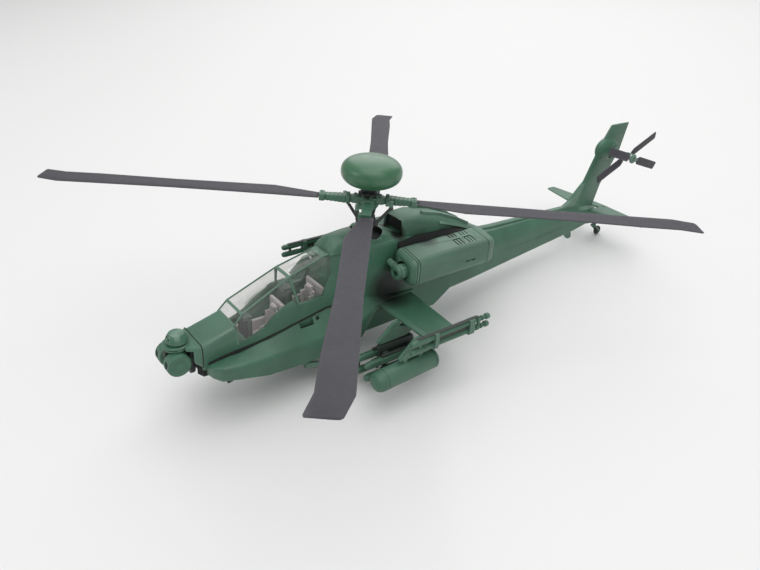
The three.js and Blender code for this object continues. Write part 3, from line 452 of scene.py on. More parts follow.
# ---------------------------------------------------------------- fuselage
# Sections: y, top z on the centre line, port half (x, z) points from the top down, belly z.
FUSELAGE = [
    (-59, -29.7, [(4.9, -29.9), (6, -30.9), (6.2, -33), (6.2, -35.5), (6, -37.6), (5.2, -38.4)], -38.6),
    (-48.5, -26.8, [(4.9, -27), (5.7, -27.7), (6.4, -31.5), (6.7, -36), (6.6, -41.2), (5.8, -42.2)], -42.4),
    (-46.2, -24, [(4.9, -24.1), (5.4, -24.6), (6.5, -31.5), (6.8, -36), (6.7, -41.8), (5.9, -42.8)], -42.9),
    (-30.3, -16.9, [(3.9, -17), (4.3, -17.6), (6.7, -27), (7.2, -33), (7.5, -42.4), (6.7, -43.4)], -43.6),
    (-18.6, -13.5, [(3.3, -13.8), (3.8, -14.4), (6.9, -25.8), (7.6, -33), (7.9, -42.6), (7.1, -43.6)], -43.8),
    (-10, -12.6, [(4.6, -12.9), (5.2, -13.6), (7.1, -26), (7.9, -33), (8.1, -42.5), (7.3, -43.5)], -43.7),
    (0, -12.6, [(5.9, -12.9), (6.5, -13.6), (7.3, -26), (8.1, -33), (8.3, -42.1), (7.5, -43.1)], -43.3),
    (10, -12.6, [(5.9, -12.9), (6.5, -13.6), (7.3, -26), (8.2, -33), (8.4, -41.7), (7.6, -42.7)], -42.9),
    (26, -14.4, [(5.2, -14.8), (6, -16), (7.3, -26), (8.2, -33), (8.4, -41.3), (7.6, -42.3)], -42.5),
    (34, -17.4, [(4.6, -17.8), (5.6, -19), (7.1, -26), (7.8, -31.5), (7.8, -36.6), (7, -38)], -38.3),
    (46, -20.8, [(3.6, -21.2), (5.2, -23.6), (6.6, -27), (7, -31), (6.8, -36.8), (6, -37.9)], -38.2),
    (58, -22, [(2.6, -22.4), (4.6, -24.8), (5.8, -27.6), (6, -31), (5.6, -36.4), (4.8, -37.7)], -38),
    (82, -22.7, [(1.8, -23.1), (3.4, -25.2), (4.3, -27.8), (4.5, -30.6), (4.1, -35.2), (3.4, -36.3)], -36.6),
    (110, -23.4, [(1.2, -23.8), (2.2, -25.4), (2.8, -27.8), (2.9, -30), (2.5, -33.6), (1.9, -34.7)], -35),
    (116, -24.3, [(1.1, -24.7), (2, -25.8), (2.5, -27.7), (2.6, -29.8), (2.2, -32.9), (1.6, -33.9)], -34.2),
    (123.5, -26.4, [(0.9, -26.7), (1.4, -27.2), (1.9, -28.2), (1.9, -29.6), (1.6, -32), (1.2, -32.9)], -33.2),
]
# Sill line of the canopy, (y, z), from the nose aft.
SILL = [
    (-51, -25.6), (-48.9, -26.7), (-48.4, -32.7), (-45.5, -32.1), (-42.6, -31.2), (-39.7, -29.8),
    (-36.6, -27.2), (-33.4, -25.2), (-30, -24), (-28.6, -25.7), (-24.4, -25.7), (-20, -25.4), (-18.7, -22.4),
    (-16.4, -19.4), (-15.6, -12),
]
# The gunner's and the pilot's wells: x, y and z from and to.
COCKPIT_WELLS = [((-5.6, 5.6), (-45.6, -30.9), (-38.3, -20)), ((-5.6, 5.6), (-32, -17.8), (-34.9, -16))]
# The sight turret's well, and the painted shade under the nose: y, middle z, half width and half height.
WELL_RADIUS, WELL_ROOF, WELL_BOTTOM = 6.4, -31.3, -45
CHIN = [(-60, -38.4, 4.3, 1.6), (-58.6, -38.9, 5.2, 2.1), (-53, -40.2, 4.4, 1.6)]
# The cover along the boom: y, half width, top z.
RIDGE = [
    (49.5, 1, -21.6), (51, 1.25, -20.9), (58, 1.25, -21.4), (82, 1.15, -22.1), (108, 1, -22.85),
    (110, 0.8, -23.5),
]
# The painted shadow line over the cheek, along the seam: y, x, z and its height.
CHEEK_SHADOW_LINE = [
    (-57.6, 6.3, -36, 0.35), (-54.2, 6.45, -35.65, 0.8), (-49.3, 6.6, -35, 0.8), (-43.4, 6.75, -34.1, 0.45),
    (-36.9, 6.9, -32.85, 0.3), (-29.3, 7.05, -31.3, 0.3), (-24.3, 7.15, -30.3, 0.3),
    (-19.4, 7.2, -29.25, 0.3), (-12, 7.45, -29.3, 0.3),
]


def section_ring(y, half, radius=0.9, inset=0.0):
    """A rounded ring across the centre line from its port half, moved in by inset."""
    whole = half + [(-x, z) for x, z in reversed(half[1:-1])]
    ring = rounded(whole, radius)
    made = []
    for i, p in enumerate(ring):
        along = (ring[(i + 1) % len(ring)] - ring[i - 1]).normalized()
        made.append((p.x + along.y * inset, y, p.y - along.x * inset))
    return made


def hull(inset=0.0):
    """The fuselage's skin, moved in by inset; its corners are rounder ahead of the pilot."""
    rings = []
    for y, top, points, belly in FUSELAGE:
        half = [(0, top), *points, (0, belly)]
        rings.append(section_ring(y, half, 0.9 if y < -30 else 0.4, inset))
    return loft(rings)


def above_sill():
    """Everything over the canopy's sill line."""
    return side_plate([*SILL, (-15.6, -8), (-51, -8)], (-12, 12))


def sight_well(radius, roof):
    """The round room for the sight turret under the nose."""
    y = pivot("sight_drums_pitch").y
    return bar((0, y, WELL_BOTTOM), (0, y, roof), radius, sides=64)


def boom_ridge():
    """The cover over the tail rotor's drive shaft, along the top of the boom."""
    rings = []
    for y, wide, z in RIDGE:
        outline = [(wide, 0), (-wide, 0), (-wide * 1.1, -1.6), (wide * 1.1, -1.6)]
        rings.append([(p.x, y, p.y + z) for p in rounded(outline, 0.5)])
    return loft(rings)


def fin_root():
    """The fillet where the fin's leading edge runs into the boom."""
    edge = [
        (97.5, -23.9), (101.5, -22.9), (104.8, -21.3), (107.4, -19.1), (109.6, -16.9), (111.6, -15),
        (113.5, -13.5),
    ]
    return side_plate([*edge, (114.5, -25), (97.5, -25.5)], (-0.8, 0.8))


def cheek_shadow_lines():
    """The painted shadow line over each cheek, where it meets the fuselage's side."""
    lines = []
    for side, _ in SIDES:
        rings = []
        for y, x, z, high in CHEEK_SHADOW_LINE:
            inner, outer, proud, low = x - 0.4, x + 0.4, x + 0.12, z - 0.12
            rings.append([(inner, y, z + high), (proud, y, z + high), (outer, y, low), (inner, y, low)])
        lines.append(on_side(side, loft(rings)))
    return lines


def add_fuselage():
    """The fuselage with its wells cut out, and painted shade over the cheeks, in the sight well and under the
    nose.
    """
    wells = [block(*spans) for spans in COCKPIT_WELLS]
    hollow = sight_well(WELL_RADIUS, WELL_ROOF)
    lining = combined("INTERSECT", hull(0.15), sight_well(WELL_RADIUS + 0.1, WELL_ROOF - 0.1))
    under = loft([box_ring(0, y, mid, wide, high, 0.8) for y, mid, wide, high in CHIN])
    # Near-black painted shade: shadow lines over the cheeks, the sight well's lining and the nose's
    # underside.
    dark = joined(*cheek_shadow_lines(), cut(lining, hollow), cut(under, hollow))
    shell = joined(cut(hull(), above_sill(), *wells, hollow), boom_ridge(), fin_root())
    halves = ["fuselage_left", "fuselage_right"]
    piece("fuselage_shell", shell, GREEN, nodes=halves, edge=0.2, extra=[(dark, DEEP)])


# ---------------------------------------------------------------- engines and cheeks
NACELLE_X, NACELLE_Z = 12.9, -20.4
NACELLE_WIDE, NACELLE_HIGH, NACELLE_RISE = 5.0, 4.3, 1.8
NACELLE_FRONT, NACELLE_END, EXHAUST_END = 5.5, 38.7, 48
LOUVRE_Z = (-16.8, -10)
# The exhaust fairing: y, shift inward, shift down, half width and half height.
EXHAUST = [
    (NACELLE_END + 0.25, 0, 0, NACELLE_WIDE, NACELLE_HIGH),
    (NACELLE_END + 2, 0.2, 0.2, NACELLE_WIDE - 0.15, NACELLE_HIGH - 0.05),
    (NACELLE_END + 4, 0.6, 0.6, NACELLE_WIDE - 0.65, NACELLE_HIGH - 0.2),
    (NACELLE_END + 6, 1.6, 1.3, NACELLE_WIDE - 1.5, NACELLE_HIGH - 0.7),
    (EXHAUST_END - 1.2, 2.9, 2.1, NACELLE_WIDE - 2.5, NACELLE_HIGH - 1.5),
    (EXHAUST_END, 3.8, 2.6, 1.6, 2.2),
]


def box_ring(x, y, z, wide, high, radius, rise=0.0):
    """A rounded rectangle across the fuselage; its top may rise towards the centre line."""
    made = []
    for p in rounded(rectangle(wide, high), radius, 5):
        lift = rise * (wide - p.x) / (2 * wide) * max(p.y, 0) / high
        made.append((x + p.x, y, z + p.y + lift))
    return made


def nacelle():
    """An engine pod: a round-cornered box with a lip, grooves, an inlet and louvres in its top."""
    def ring(aft, inset):
        wide, high = NACELLE_WIDE - inset, NACELLE_HIGH - inset
        y = NACELLE_FRONT + aft
        return box_ring(NACELLE_X, y, NACELLE_Z, wide, high, 2.1 - inset / 3, NACELLE_RISE)

    lip = [ring(0, 1.5), ring(0.15, 1.0), ring(0.6, 0.45), ring(1.2, 0.12)]
    grooves = [ring(aft + along, inset) for aft in (1.7, 2.7)
               for along, inset in ((0, 0), (0.02, 0.25), (0.28, 0.25), (0.3, 0))]
    body = loft([*lip, *grooves, ring(NACELLE_END - NACELLE_FRONT, 0)])
    mouth = [(NACELLE_X, NACELLE_FRONT + along, NACELLE_Z) for along in (-1, 4)]
    inlet = bar(*mouth, 3, 2.9, 32)
    slots = []
    for start in (26.6, 31.6):
        for inner, outer in ((8.6, 11.4), (12.2, 15.6)):
            for y in (start, start + 1.3, start + 2.6):
                slots.append(block((inner, outer), (y, y + 0.45), LOUVRE_Z))
            slots.append(block((inner, inner + 0.4), (start, start + 3), LOUVRE_Z))
    slots += [block((17.5, 19), (y, y + 1.8), (-21.4, -20.9)) for y in (28.6, 31.0)]
    return cut(body, inlet, *slots)


def nose_gearbox():
    """The turned gearbox ahead of an engine, with its shaft to the fuselage and a collar on it."""
    x, y = NACELLE_X + 0.4, NACELLE_FRONT - 3.6
    casing = [
        (0, 1.5), (0.9, 1.5), (0.95, 0.25), (1.15, 0), (1.9, 0), (2.25, 0.25), (2.4, 0.7), (2.4, 1.6),
        (2.55, 1.7), (2.55, 2.2), (2.4, 2.3), (2.4, 4.6), (2.2, 5.4), (1.6, 6.6), (0, 6.6),
    ]
    axle = y + 1.9
    shaft = bar((8, axle, NACELLE_Z + 1.6), (NACELLE_X, axle, NACELLE_Z + 0.6), 1.1, sides=24)
    collar = bar((10.2, axle, NACELLE_Z + 1.15), (10.8, axle, NACELLE_Z + 1.05), 1.35, sides=24)
    return joined(turned(casing, (x, y, NACELLE_Z), (0, 1, 0)), shaft, collar)


def exhaust():
    """The fairing behind an engine, which narrows and bends in towards the boom."""
    rings = []
    for y, inward, down, wide, high in EXHAUST:
        rings.append(box_ring(NACELLE_X - inward, y, NACELLE_Z - down, wide, high, 1.9, NACELLE_RISE))
    return loft(rings)


# Cheek sections: y, inner top z, crease (x, z), side (x, z), lower (x, z), bottom z.
CHEEK = [
    (-57.9, -36.5, (7.4, -36.6), (7.8, -37.3), (7.4, -39.4), -40.0),
    (-57.3, -36.2, (8.8, -36.1), (9.2, -37.0), (8.8, -39.8), -40.6),
    (-55.4, -35.8, (10.7, -35.8), (11.1, -36.9), (10.5, -40.6), -41.6),
    (-50.5, -35.1, (12.0, -35.7), (12.3, -37.0), (11.6, -41.1), -42.5),
    (-41.5, -33.0, (12.2, -36.3), (12.5, -37.4), (12.0, -43.0), -44.0),
    (-29.7, -29.4, (12.2, -36.2), (12.5, -37.4), (12.0, -43.6), -44.4),
    (-19.4, -26.2, (12.1, -36.0), (12.4, -37.2), (11.9, -43.6), -44.4),
    (-7.5, -26.5, (11.3, -34.6), (11.7, -36.0), (11.2, -42.0), -43.2),
    (-1.4, -28.2, (9.9, -32.2), (10.2, -33.0), (9.8, -35.0), -36.0),
    (5.5, -29.9, (9.3, -31.9), (9.5, -32.4), (9.2, -33.0), -33.4),
    (15.0, -31.0, (8.6, -32.2), (8.7, -32.5), (8.6, -32.8), -33.0),
]
CHEEK_INNER = 5


def cheek():
    """A cheek fairing with a step and a handhold cut in its top, and their floors in near-black painted
    shade.
    """
    rings = []
    for y, top, crease, side, lower, bottom in CHEEK:
        outline = [(CHEEK_INNER, top), crease, side, lower, (CHEEK_INNER, bottom)]
        rings.append([(p.x, y, p.y) for p in rounded(outline, 0.7, 3)])
    step = block((6.5, 8.6), (-29.0, -24.4), (-34.0, -28))
    handhold = block((7.3, 8.3), (-23.3, -22.3), (-33.0, -28))
    # The step's and the handhold's floors: painted shade.
    floors = joined(
        block((6.6, 8.5), (-28.9, -24.5), (-34.0, -33.3)),
        block((7.35, 8.25), (-23.25, -22.35), (-33.0, -31.6)))
    return cut(loft(rings), step, handhold), floors


# Sections of the cowl behind the mast: y, top z, top half width, side half width, side z.
COWL = [
    (11, -7.8, 3.0, 4.9, -10.0), (12.8, -7.2, 3.4, 5.5, -10.0), (18, -7.0, 3.6, 6.0, -10.6),
    (27, -9.0, 3.4, 5.9, -12.8), (36, -12.4, 3.0, 5.4, -15.8), (46, -17.6, 2.4, 4.6, -19.8),
    (53, -21.0, 1.8, 3.4, -22.6),
]
# The two raised strips on each side of the cowl: points, width, depth, outward direction and height.
STRIPS = [
    ([(3, 20, -7.75), (3, 28, -9.9), (3, 36, -13), (2.9, 42.5, -16.3)], 1.15, 0.6, (0, 0.25, 1), 0.85),
    ([(5.35, 26, -11.6), (5.25, 31, -13.2), (4.9, 38, -15.8), (4.3, 46, -19.4)], 1.1, 0.6,
     (0.75, 0.25, 0.7), 0.8),
]
# The painted shadow in the gap between cowl and engine: y, outer x and top z of its wall.
GAP = [
    (8, 6.7, -13.9), (12, 6.7, -13.7), (18, 6.2, -13.5), (27, 6.15, -13.9), (33, 5.9, -14.6),
    (37, 5.5, -15.6),
]
GAP_OUTER, GAP_STEP, GAP_FLOOR = 8.1, -16.4, -17.6


def cowl():
    """The cowl with its intake and strips, and painted shade: the intake's near-black back and the gaps."""
    rings = []
    for y, top, top_wide, wide, side in COWL:
        shoulder = [(top_wide, top - 0.3), (wide - 0.4, (top + side) / 2), (wide, side)]
        rings.append(section_ring(y, [(0, top), *shoulder, (wide + 0.2, -25), (0, -26)], 1.1))
    intake = cross_plate(rounded(rectangle(4.1, 2.1), 1), (9, 15), (0, -10.3))
    # The intake's back, near black: painted shade.
    back = block((-4.1, 4.1), (11.9, 12.4), (-12.4, -8.2))
    strips, gaps = [], []
    for side, _ in SIDES:
        strips += [on_side(side, rail(*strip)) for strip in STRIPS]
        gap = []
        for y, wall, high in GAP:
            outer = [(GAP_OUTER, y, GAP_STEP), (GAP_OUTER, y, GAP_FLOOR)]
            gap.append([(wall - 0.6, y, high), (wall, y, high), *outer, (wall - 0.6, y, GAP_FLOOR)])
        gaps.append(on_side(side, loft(gap)))
    return joined(cut(loft(rings), intake), *strips), joined(back, *gaps)


def add_engines():
    """The pieces of both engines, both cheeks and the cowl behind the mast."""
    fairing, dark = cheek()
    for side, label in SIDES:
        for name, shape, node in (
                ("engine_pod", nacelle(), "nacelle"), ("engine_nose", nose_gearbox(), "gearbox"),
                ("exhaust_fairing", exhaust(), "exhaust")):
            piece(f"{name}_{label}", on_side(side, shape), GREEN, nodes=[f"{node}_{label}"])
        # The cheek's near-black floors are painted shade.
        floors = [(on_side(side, dark), DEEP)]
        piece(f"cheek_fairing_{label}", on_side(side, fairing), GREEN, nodes=[f"cheek_{label}"], extra=floors)
    # The cowl's near-black parts are painted shade: the intake's back and the gaps.
    shell, dark = cowl()
    piece("gearbox_cowl", shell, GREEN, nodes=["engine_cowl"], edge=0.15, extra=[(dark, DEEP)])


# ---------------------------------------------------------------- main rotor
ROTOR_RADIUS = 101.6
BLADE_CHORD, BLADE_THICK = 7.7, 0.7
BLADE_ROOT, BLADE_FULL, TAPER_END, FLARE_END, DROOP = 15.2, 29.5, 60, 84, 0.5
SWEEP_START, SWEEP = 95, 1.9
FIRST_BLADE = -37.86
# Each blade's shift across its arm and turn off it, in degrees.
BLADE_SET = ((1, -0.8), (0, 0), (0, 0), (0, 0))
BLADE_TURNS = [Matrix.Rotation(math.radians(FIRST_BLADE + 90 * k), 4, "Z") for k in range(4)]
# Where a pitch link meets the horn of an arm that lies along x: x, y.
HORN_END = (7.2, -3.1)
RADOME_RADIUS, RADOME_HEIGHT, RADOME_Z, RADOME_AFT = 9.4, 9.2, 8.8, 0.8
# Half thickness along an aerofoil: (part of the chord, part of the thickness).
FOIL = [
    (0, 0), (0.012, 0.2), (0.05, 0.36), (0.14, 0.48), (0.3, 0.5), (0.5, 0.42), (0.75, 0.25), (0.93, 0.1),
    (1, 0.05),
]


def foil_ring(place, leading, trailing, thickness, blunt=0.0):
    """An aerofoil ring: place turns (distance along the chord, height) into a point."""
    chord = trailing - leading
    half = [(c, max(t, blunt) if c > 0.3 else t) for c, t in FOIL]
    upper = [(leading + c * chord, t * thickness) for c, t in half]
    lower = [(leading + c * chord, -t * thickness) for c, t in reversed(half[1:])]
    return [place(a, t) for a, t in upper + lower]


def foil_loft(place, sections, blunt=0.0):
    """A wing through sections (span, leading edge, trailing edge, thickness).

    place turns (span, distance along the chord, height) into a point.
    """
    return loft([foil_ring(lambda a, t: place(span, a, t), leading, trailing, thickness, blunt)
                 for span, leading, trailing, thickness in sections])


def rotor_blade():
    """A blade along x: it widens from its root, tapers, flares and sweeps back at the tip, and droops."""
    def part(r, start, end):
        return min(max(r - start, 0) / (end - start), 1)

    rings = []
    stations = [BLADE_ROOT, 17, 20, 24, 26.5, BLADE_FULL, 37, 48, TAPER_END, 72, FLARE_END, SWEEP_START, 98,
                ROTOR_RADIUS - 0.5, ROTOR_RADIUS]
    for r in stations:
        tip = 0.35 if r == ROTOR_RADIUS else 0
        sweep = SWEEP * max(r - SWEEP_START, 0) / (ROTOR_RADIUS - SWEEP_START)
        droop = DROOP * ((r - BLADE_ROOT) / (ROTOR_RADIUS - BLADE_ROOT)) ** 2
        leading = 1.2 - 1.1 * part(r, BLADE_ROOT, TAPER_END) - sweep - tip
        widening = (BLADE_CHORD - 3.7) * part(r, BLADE_ROOT, BLADE_FULL) + part(r, TAPER_END, FLARE_END)
        trailing = -2.6 - widening - 0.75 * sweep + tip
        thick = BLADE_THICK * (0.5 if tip else 1)
        rings.append(foil_ring(lambda a, t: (r, a, t - droop), leading, trailing, thick, 0.28))
    return loft(rings)


def box_loft(stations, radius=0.5):
    """A rounded box section along x; stations are (x, half width, half height, middle y)."""
    rings = []
    for along, wide, high, middle in stations:
        outline = rounded(rectangle(wide, high), min(radius, high * 0.7))
        rings.append([(along, middle + p.x, p.y) for p in outline])
    return loft(rings)


def rotor_arm():
    """Hub arm: a root lug, a ribbed pitch housing between two collars, the horn and its bolts."""
    housing = [(6.5, 1.55, 1.15, 0)]
    for k in range(5):
        start = 6.9 + k * 1.3
        wide, high, middle = 1.55 - 0.05 * k, 1.15 - 0.05 * k, -0.1 * k
        for along, swell in ((0, 0), (0.12, 0.06), (0.7, 0.06), (0.82, 0)):
            housing.append((start + along, wide + swell, high + swell, middle))
    housing.append((13.4, 1.3, 0.9, -0.5))
    collar = [(13.3, 1.75, 0.95, -0.6), (13.4, 1.9, 1.1, -0.65), (14.9, 1.95, 1.1, -0.7),
              (15.05, 1.8, 0.95, -0.7)]
    lug = [(2, 1.7, 1.3, 0), (4.6, 1.5, 1.15, 0), (5.6, 1.2, 0.95, 0)]
    ring = [(1.2, 0), (1.8, 0), (1.95, 0.15), (1.95, 0.95), (1.8, 1.1), (1.2, 1.1)]
    horn = cross_plate(rounded(rectangle(1, 0.5), 0.2, 3), (-3.4, -1.4), (6.6, 0))
    joint = bar((*HORN_END, -0.9), (*HORN_END, 0.9), 0.62)
    bolts = [bar((3.9, y, 1.0), (3.9, y, 1.55), 0.38, sides=12) for y in (-0.8, 0.8)]
    pins = [bar((14.2, y, -1.3), (14.2, y, 1.3), 0.3, sides=12) for y in (-1.7, 0.3)]
    return joined(
        box_loft(lug), turned(ring, (5.5, 0, 0), (1, 0, 0), 28, hollow=True), box_loft(housing),
        box_loft(collar), horn, joint, *bolts, *pins)


def rotor_head():
    """The hub's core, four arms and a ring of small bolts."""
    core = turned([
        (0, -3), (2.4, -3), (2.7, -2.8), (3.3, -1.9), (3.5, -1.2), (3.5, -0.9), (3.1, -0.7), (3.1, 0.7),
        (3.5, 0.9), (3.5, 1.3), (0, 1.3)], sides=40)
    lugs = []
    for k in range(8):
        angle = math.pi / 4 * (k + 0.5)
        x, y = 3.1 * math.cos(angle), 3.1 * math.sin(angle)
        lugs.append(bar((x, y, 1), (x, y, 2), 0.4, sides=12))
    return joined(core, *[moved(rotor_arm(), turn) for turn in BLADE_TURNS], *lugs)


def swashplate():
    """The plate under the hub, and a link from it to each arm's horn."""
    low = (2.9, -1.7)
    link = joined(
        bar((*low, -7.2), (*HORN_END, -1.3), 0.5, sides=14), bar((*low, -7.9), (*low, -6.4), 0.7, sides=18),
        bar((*HORN_END, -1.9), (*HORN_END, -1.0), 0.7, sides=18))
    plate = [
        (1.8, -8.2), (3.3, -8.2), (3.45, -8.0), (3.45, -7.3), (3.3, -7.1), (2.7, -7.1), (2.7, -6.9),
        (2.6, -5.4), (1.8, -5.4),
    ]
    return joined(turned(plate, hollow=True), *[moved(link, turn) for turn in BLADE_TURNS])


def add_main_rotor():
    """Everything that turns with the main rotor, then the still parts round it."""
    top = turned([(0, 1.2), (2.9, 1.2), (2.9, 2.2), (2.6, 2.5), (0, 2.6)], sides=40)
    piece("rotor_head", rotor_head(), GREEN, "main_rotor", ["rotor_hub"], extra=[(top, DARK[0])])
    for k, (turn, (shift, off)) in enumerate(zip(BLADE_TURNS, BLADE_SET), 1):
        lie = turn @ Matrix.Rotation(math.radians(off), 4, "Z") @ Matrix.Translation((0, shift, 0))
        piece(f"rotor_blade_{k}", moved(rotor_blade(), lie), BLADE, "main_rotor", [f"main_blade_{k}"], edge=0)
    piece("swashplate_links", swashplate(), DARK, "main_rotor", ["swashplate"], edge=0.08)
    shaft = [(0.98, -24), (1.5, -24), (1.5, -3.2), (0.98, -3.2)]
    piece("rotor_mast", turned(shaft, hollow=True), DARK, "main_rotor", ["rotor_shaft"])
    add_mast_fairing()
    add_radome()


# Sections of the fairing round the mast: y, base half width, top half width, top z.
MAST_FAIRING = [
    (-16.5, 4.4, 1.2, -12.5), (-16.2, 4.7, 1.3, -11.7), (-15.2, 5.0, 1.5, -10.2), (-13.6, 5.2, 1.7, -9.3),
    (-8, 5.5, 2.3, -9.0), (-3, 5.7, 3.2, -9.2), (3, 5.8, 3.4, -9.9), (7, 5.8, 3.2, -11.1),
    (10.4, 5.6, 2.6, -12.4),
]
MAST_WELL, WELL_FLOOR, WELL_TOP = 5.2, -13.2, -5


def add_mast_fairing():
    """The raised fairing on the deck, and the well in it that the mast stands in, its floor and wall in
    painted shade.
    """
    rings = []
    for y, base, wide, top in MAST_FAIRING:
        side = [(wide, top - 0.15), ((base + wide) / 2 + 0.3, top - 1.1), (base, -13.0), (base - 0.3, -14)]
        rings.append(section_ring(y, [(0, top), *side, (0, -14)], 1.6))
    hump = loft(rings)
    well = turned([(0, WELL_FLOOR), (MAST_WELL, WELL_FLOOR), (MAST_WELL, WELL_TOP), (0, WELL_TOP)], sides=56)
    floor = turned([(1.75, -13.3), (MAST_WELL, -13.3), (MAST_WELL, -12.4), (1.75, -12.4)], sides=56,
                   hollow=True)
    inner, outer = MAST_WELL - 0.1, MAST_WELL + 0.05
    wall = [(inner, WELL_FLOOR), (outer, WELL_FLOOR), (outer, WELL_TOP), (inner, WELL_TOP)]
    sunk = moved(hump, Matrix.Translation((0, 0, -0.2)))
    lining = combined("INTERSECT", sunk, turned(wall, sides=56, hollow=True))
    # The well's floor and wall in near-black painted shade.
    dark = [(joined(floor, lining), DEEP)]
    piece("mast_fairing", cut(hump, well), GREEN, nodes=["mast_base"], edge=0.1, extra=dark)


def add_radome():
    """The dome over the hub, on a neck, a still rod through the mast and a foot in the fuselage."""
    dome = turned(egg(RADOME_RADIUS, RADOME_HEIGHT / 2, 40, 0.72, 0.9), (0, RADOME_AFT, RADOME_Z), sides=72)
    neck = turned([(0, 2.9), (2.2, 2.9), (2.4, 3.2), (2.9, 4.7), (2.9, 6.4), (0, 6.4)], sides=40)
    rod = bar((0, 0, -26), (0, 0, 4), 0.7)
    foot = bar((0, 0, -26), (0, 0, -24.8), 2.4, sides=32)
    under = [(shape, DARK[0]) for shape in (neck, rod, foot)]
    piece("radome_dome", dome, RADOME, nodes=["radome"], edge=0.1, extra=under)


# ---------------------------------------------------------------- wings and stores
WING_Z, WING_THICK, WING_TIP, WING_LEADING = -33, 2, 34.2, -0.6
INNER_PYLON, OUTER_PYLON, TIP_LAUNCHER = 20.8, 31.2, 36.2
PYLON = [
    (-1.1, -32.4), (-3.6, -32.6), (-5.4, -34.4), (-9.4, -38), (-8.6, -38.8), (2, -38.6), (9, -35.8),
    (10, -34.4), (-1.1, -34.4),
]


def wing():
    """A stub wing, from x, trailing edge and part of the full thickness at each section."""
    sections = ((6, 14.4, 1), (20, 13.1, 0.9), (WING_TIP - 0.4, 11.84, 0.8), (WING_TIP, 11.5, 0.55))
    return foil_loft(lambda x, a, t: (x, a, WING_Z + t),
                     [(x, WING_LEADING, trailing, WING_THICK * part) for x, trailing, part in sections])


def pylon(x):
    """A pylon under the wing: a plate, and a thicker fairing along its foot."""
    foot = [(-4.6, -34.2), (-8.4, -37.6), (-8.0, -38.5), (1.5, -38.5), (5, -36.6), (5, -35.2)]
    plate = side_plate(rounded(PYLON, 0.5, 3), (x - 0.55, x + 0.55))
    return joined(plate, side_plate(foot, (x - 0.75, x + 0.75)))


MISSILE_FRONT, MISSILE_LENGTH, MISSILE_RADIUS, MISSILE_SPREAD = -15.4, 22.6, 1.2, 2.3
MISSILE_ROWS = (-43.4, -47.9)


def missile_fin(start, end, reach):
    """A flat fin that reaches along x, from start to end behind the missile's nose."""
    front, back = MISSILE_FRONT + start, MISSILE_FRONT + end
    root = math.copysign(0.7, reach)
    outline = [(root, front), (root, back), (reach, back), (reach, front + (back - front) * 0.45)]
    return loft([[(a, b, height) for a, b in outline] for height in (-0.12, 0.12)])


def missile(x, z):
    """A missile with a round nose, two bands, a nozzle, and four fins at the middle and the tail."""
    r, length = MISSILE_RADIUS, MISSILE_LENGTH
    body = [
        (0, 0), (0.35, 0.05), (0.66, 0.25), (0.92, 0.62), (1.1, 1.1), (r, 1.7), (r, 5.6), (r + 0.06, 5.7),
        (r + 0.06, 6.0), (r, 6.1), (r, 17), (r + 0.06, 17.1), (r + 0.06, 17.5), (r, 17.6), (r, length - 0.2),
        (r - 0.2, length), (0.6, length), (0.6, length - 0.6), (0, length - 0.6),
    ]
    shapes = [turned(body, (x, MISSILE_FRONT, z), (0, 1, 0), 28)]
    for quarter in (0.5, 1.5):
        turn = Matrix.Translation((x, 0, z)) @ Matrix.Rotation(quarter * math.pi / 2, 4, "Y")
        for side in (-1, 1):
            for start, end, spread in ((19.2, 22.3, 2.0), (7.0, 8.6, 1.6)):
                shapes.append(moved(missile_fin(start, end, side * spread), turn))
    return joined(*shapes)


def missile_rack():
    """The rack under the inner pylon: a beam, a spine, and crossbars and rails for two rows."""
    x = INNER_PYLON
    beam = loft([[(x + a, y, -40.2 + b) for a, b in rectangle(wide, high)]
                 for y, wide, high in ((-9, 0.5, 0.5), (-8, 1, 1.1), (4, 1, 1.1), (5, 0.6, 0.6))])
    spine = block((x - 0.5, x + 0.5), (-8.4, 4.6), (-46.6, -41))
    rails = []
    for z in MISSILE_ROWS:
        rails += [block((x - 2.8, x + 2.8), y, (z + 1.0, z + 1.9)) for y in ((-7.5, -5.9), (2, 3.6))]
        for side in (-1, 1):
            centre = x + side * MISSILE_SPREAD
            rails.append(block((centre - 0.42, centre + 0.42), (-9, 5), (z + 1.05, z + 1.85)))
    return joined(beam, spine, *rails)


def missiles():
    """The four missiles of a rack."""
    x, spread = INNER_PYLON, MISSILE_SPREAD
    return joined(*[missile(x + side * spread, z) for z in MISSILE_ROWS for side in (-1, 1)])


POD_RADIUS = 3.3
POD_FRONT, POD_BACK = Vector((OUTER_PYLON, -17.7, -43.4)), Vector((OUTER_PYLON, 5.1, -42.3))


def rocket_pod():
    """A pod with a stepped nose, two grooves round it and a recessed back, hung on two lugs."""
    along = POD_BACK - POD_FRONT
    length, r = along.length, POD_RADIUS
    groove, mouth = r - 0.14, r - 0.8
    shell = [
        (0, -0.5), (1.1, -0.42), (1.9, -0.2), (2.5, 0.15), (2.55, 0.3), (2.7, 0.3), (3.0, 0.75), (3.2, 1.4),
        (r, 2.1), (r, 3.1), (groove, 3.15), (groove, 3.4), (r, 3.45), (r, length - 1.5),
        (groove, length - 1.45), (groove, length - 1.2), (r, length - 1.15), (r, length - 0.6),
        (r - 0.3, length - 0.1), (r - 0.6, length), (mouth, length), (mouth, length - 0.5), (0, length - 0.5),
    ]
    x = (OUTER_PYLON - 0.6, OUTER_PYLON + 0.6)
    lugs = [block(x, (y, y + 1.4), (-39.9, -38.4)) for y in (-7.5, -1.5)]
    return joined(turned(shell, POD_FRONT, along.normalized(), 56), *lugs)


TIP_FRONT, TIP_ROWS = -9.5, (-30, -32.8)


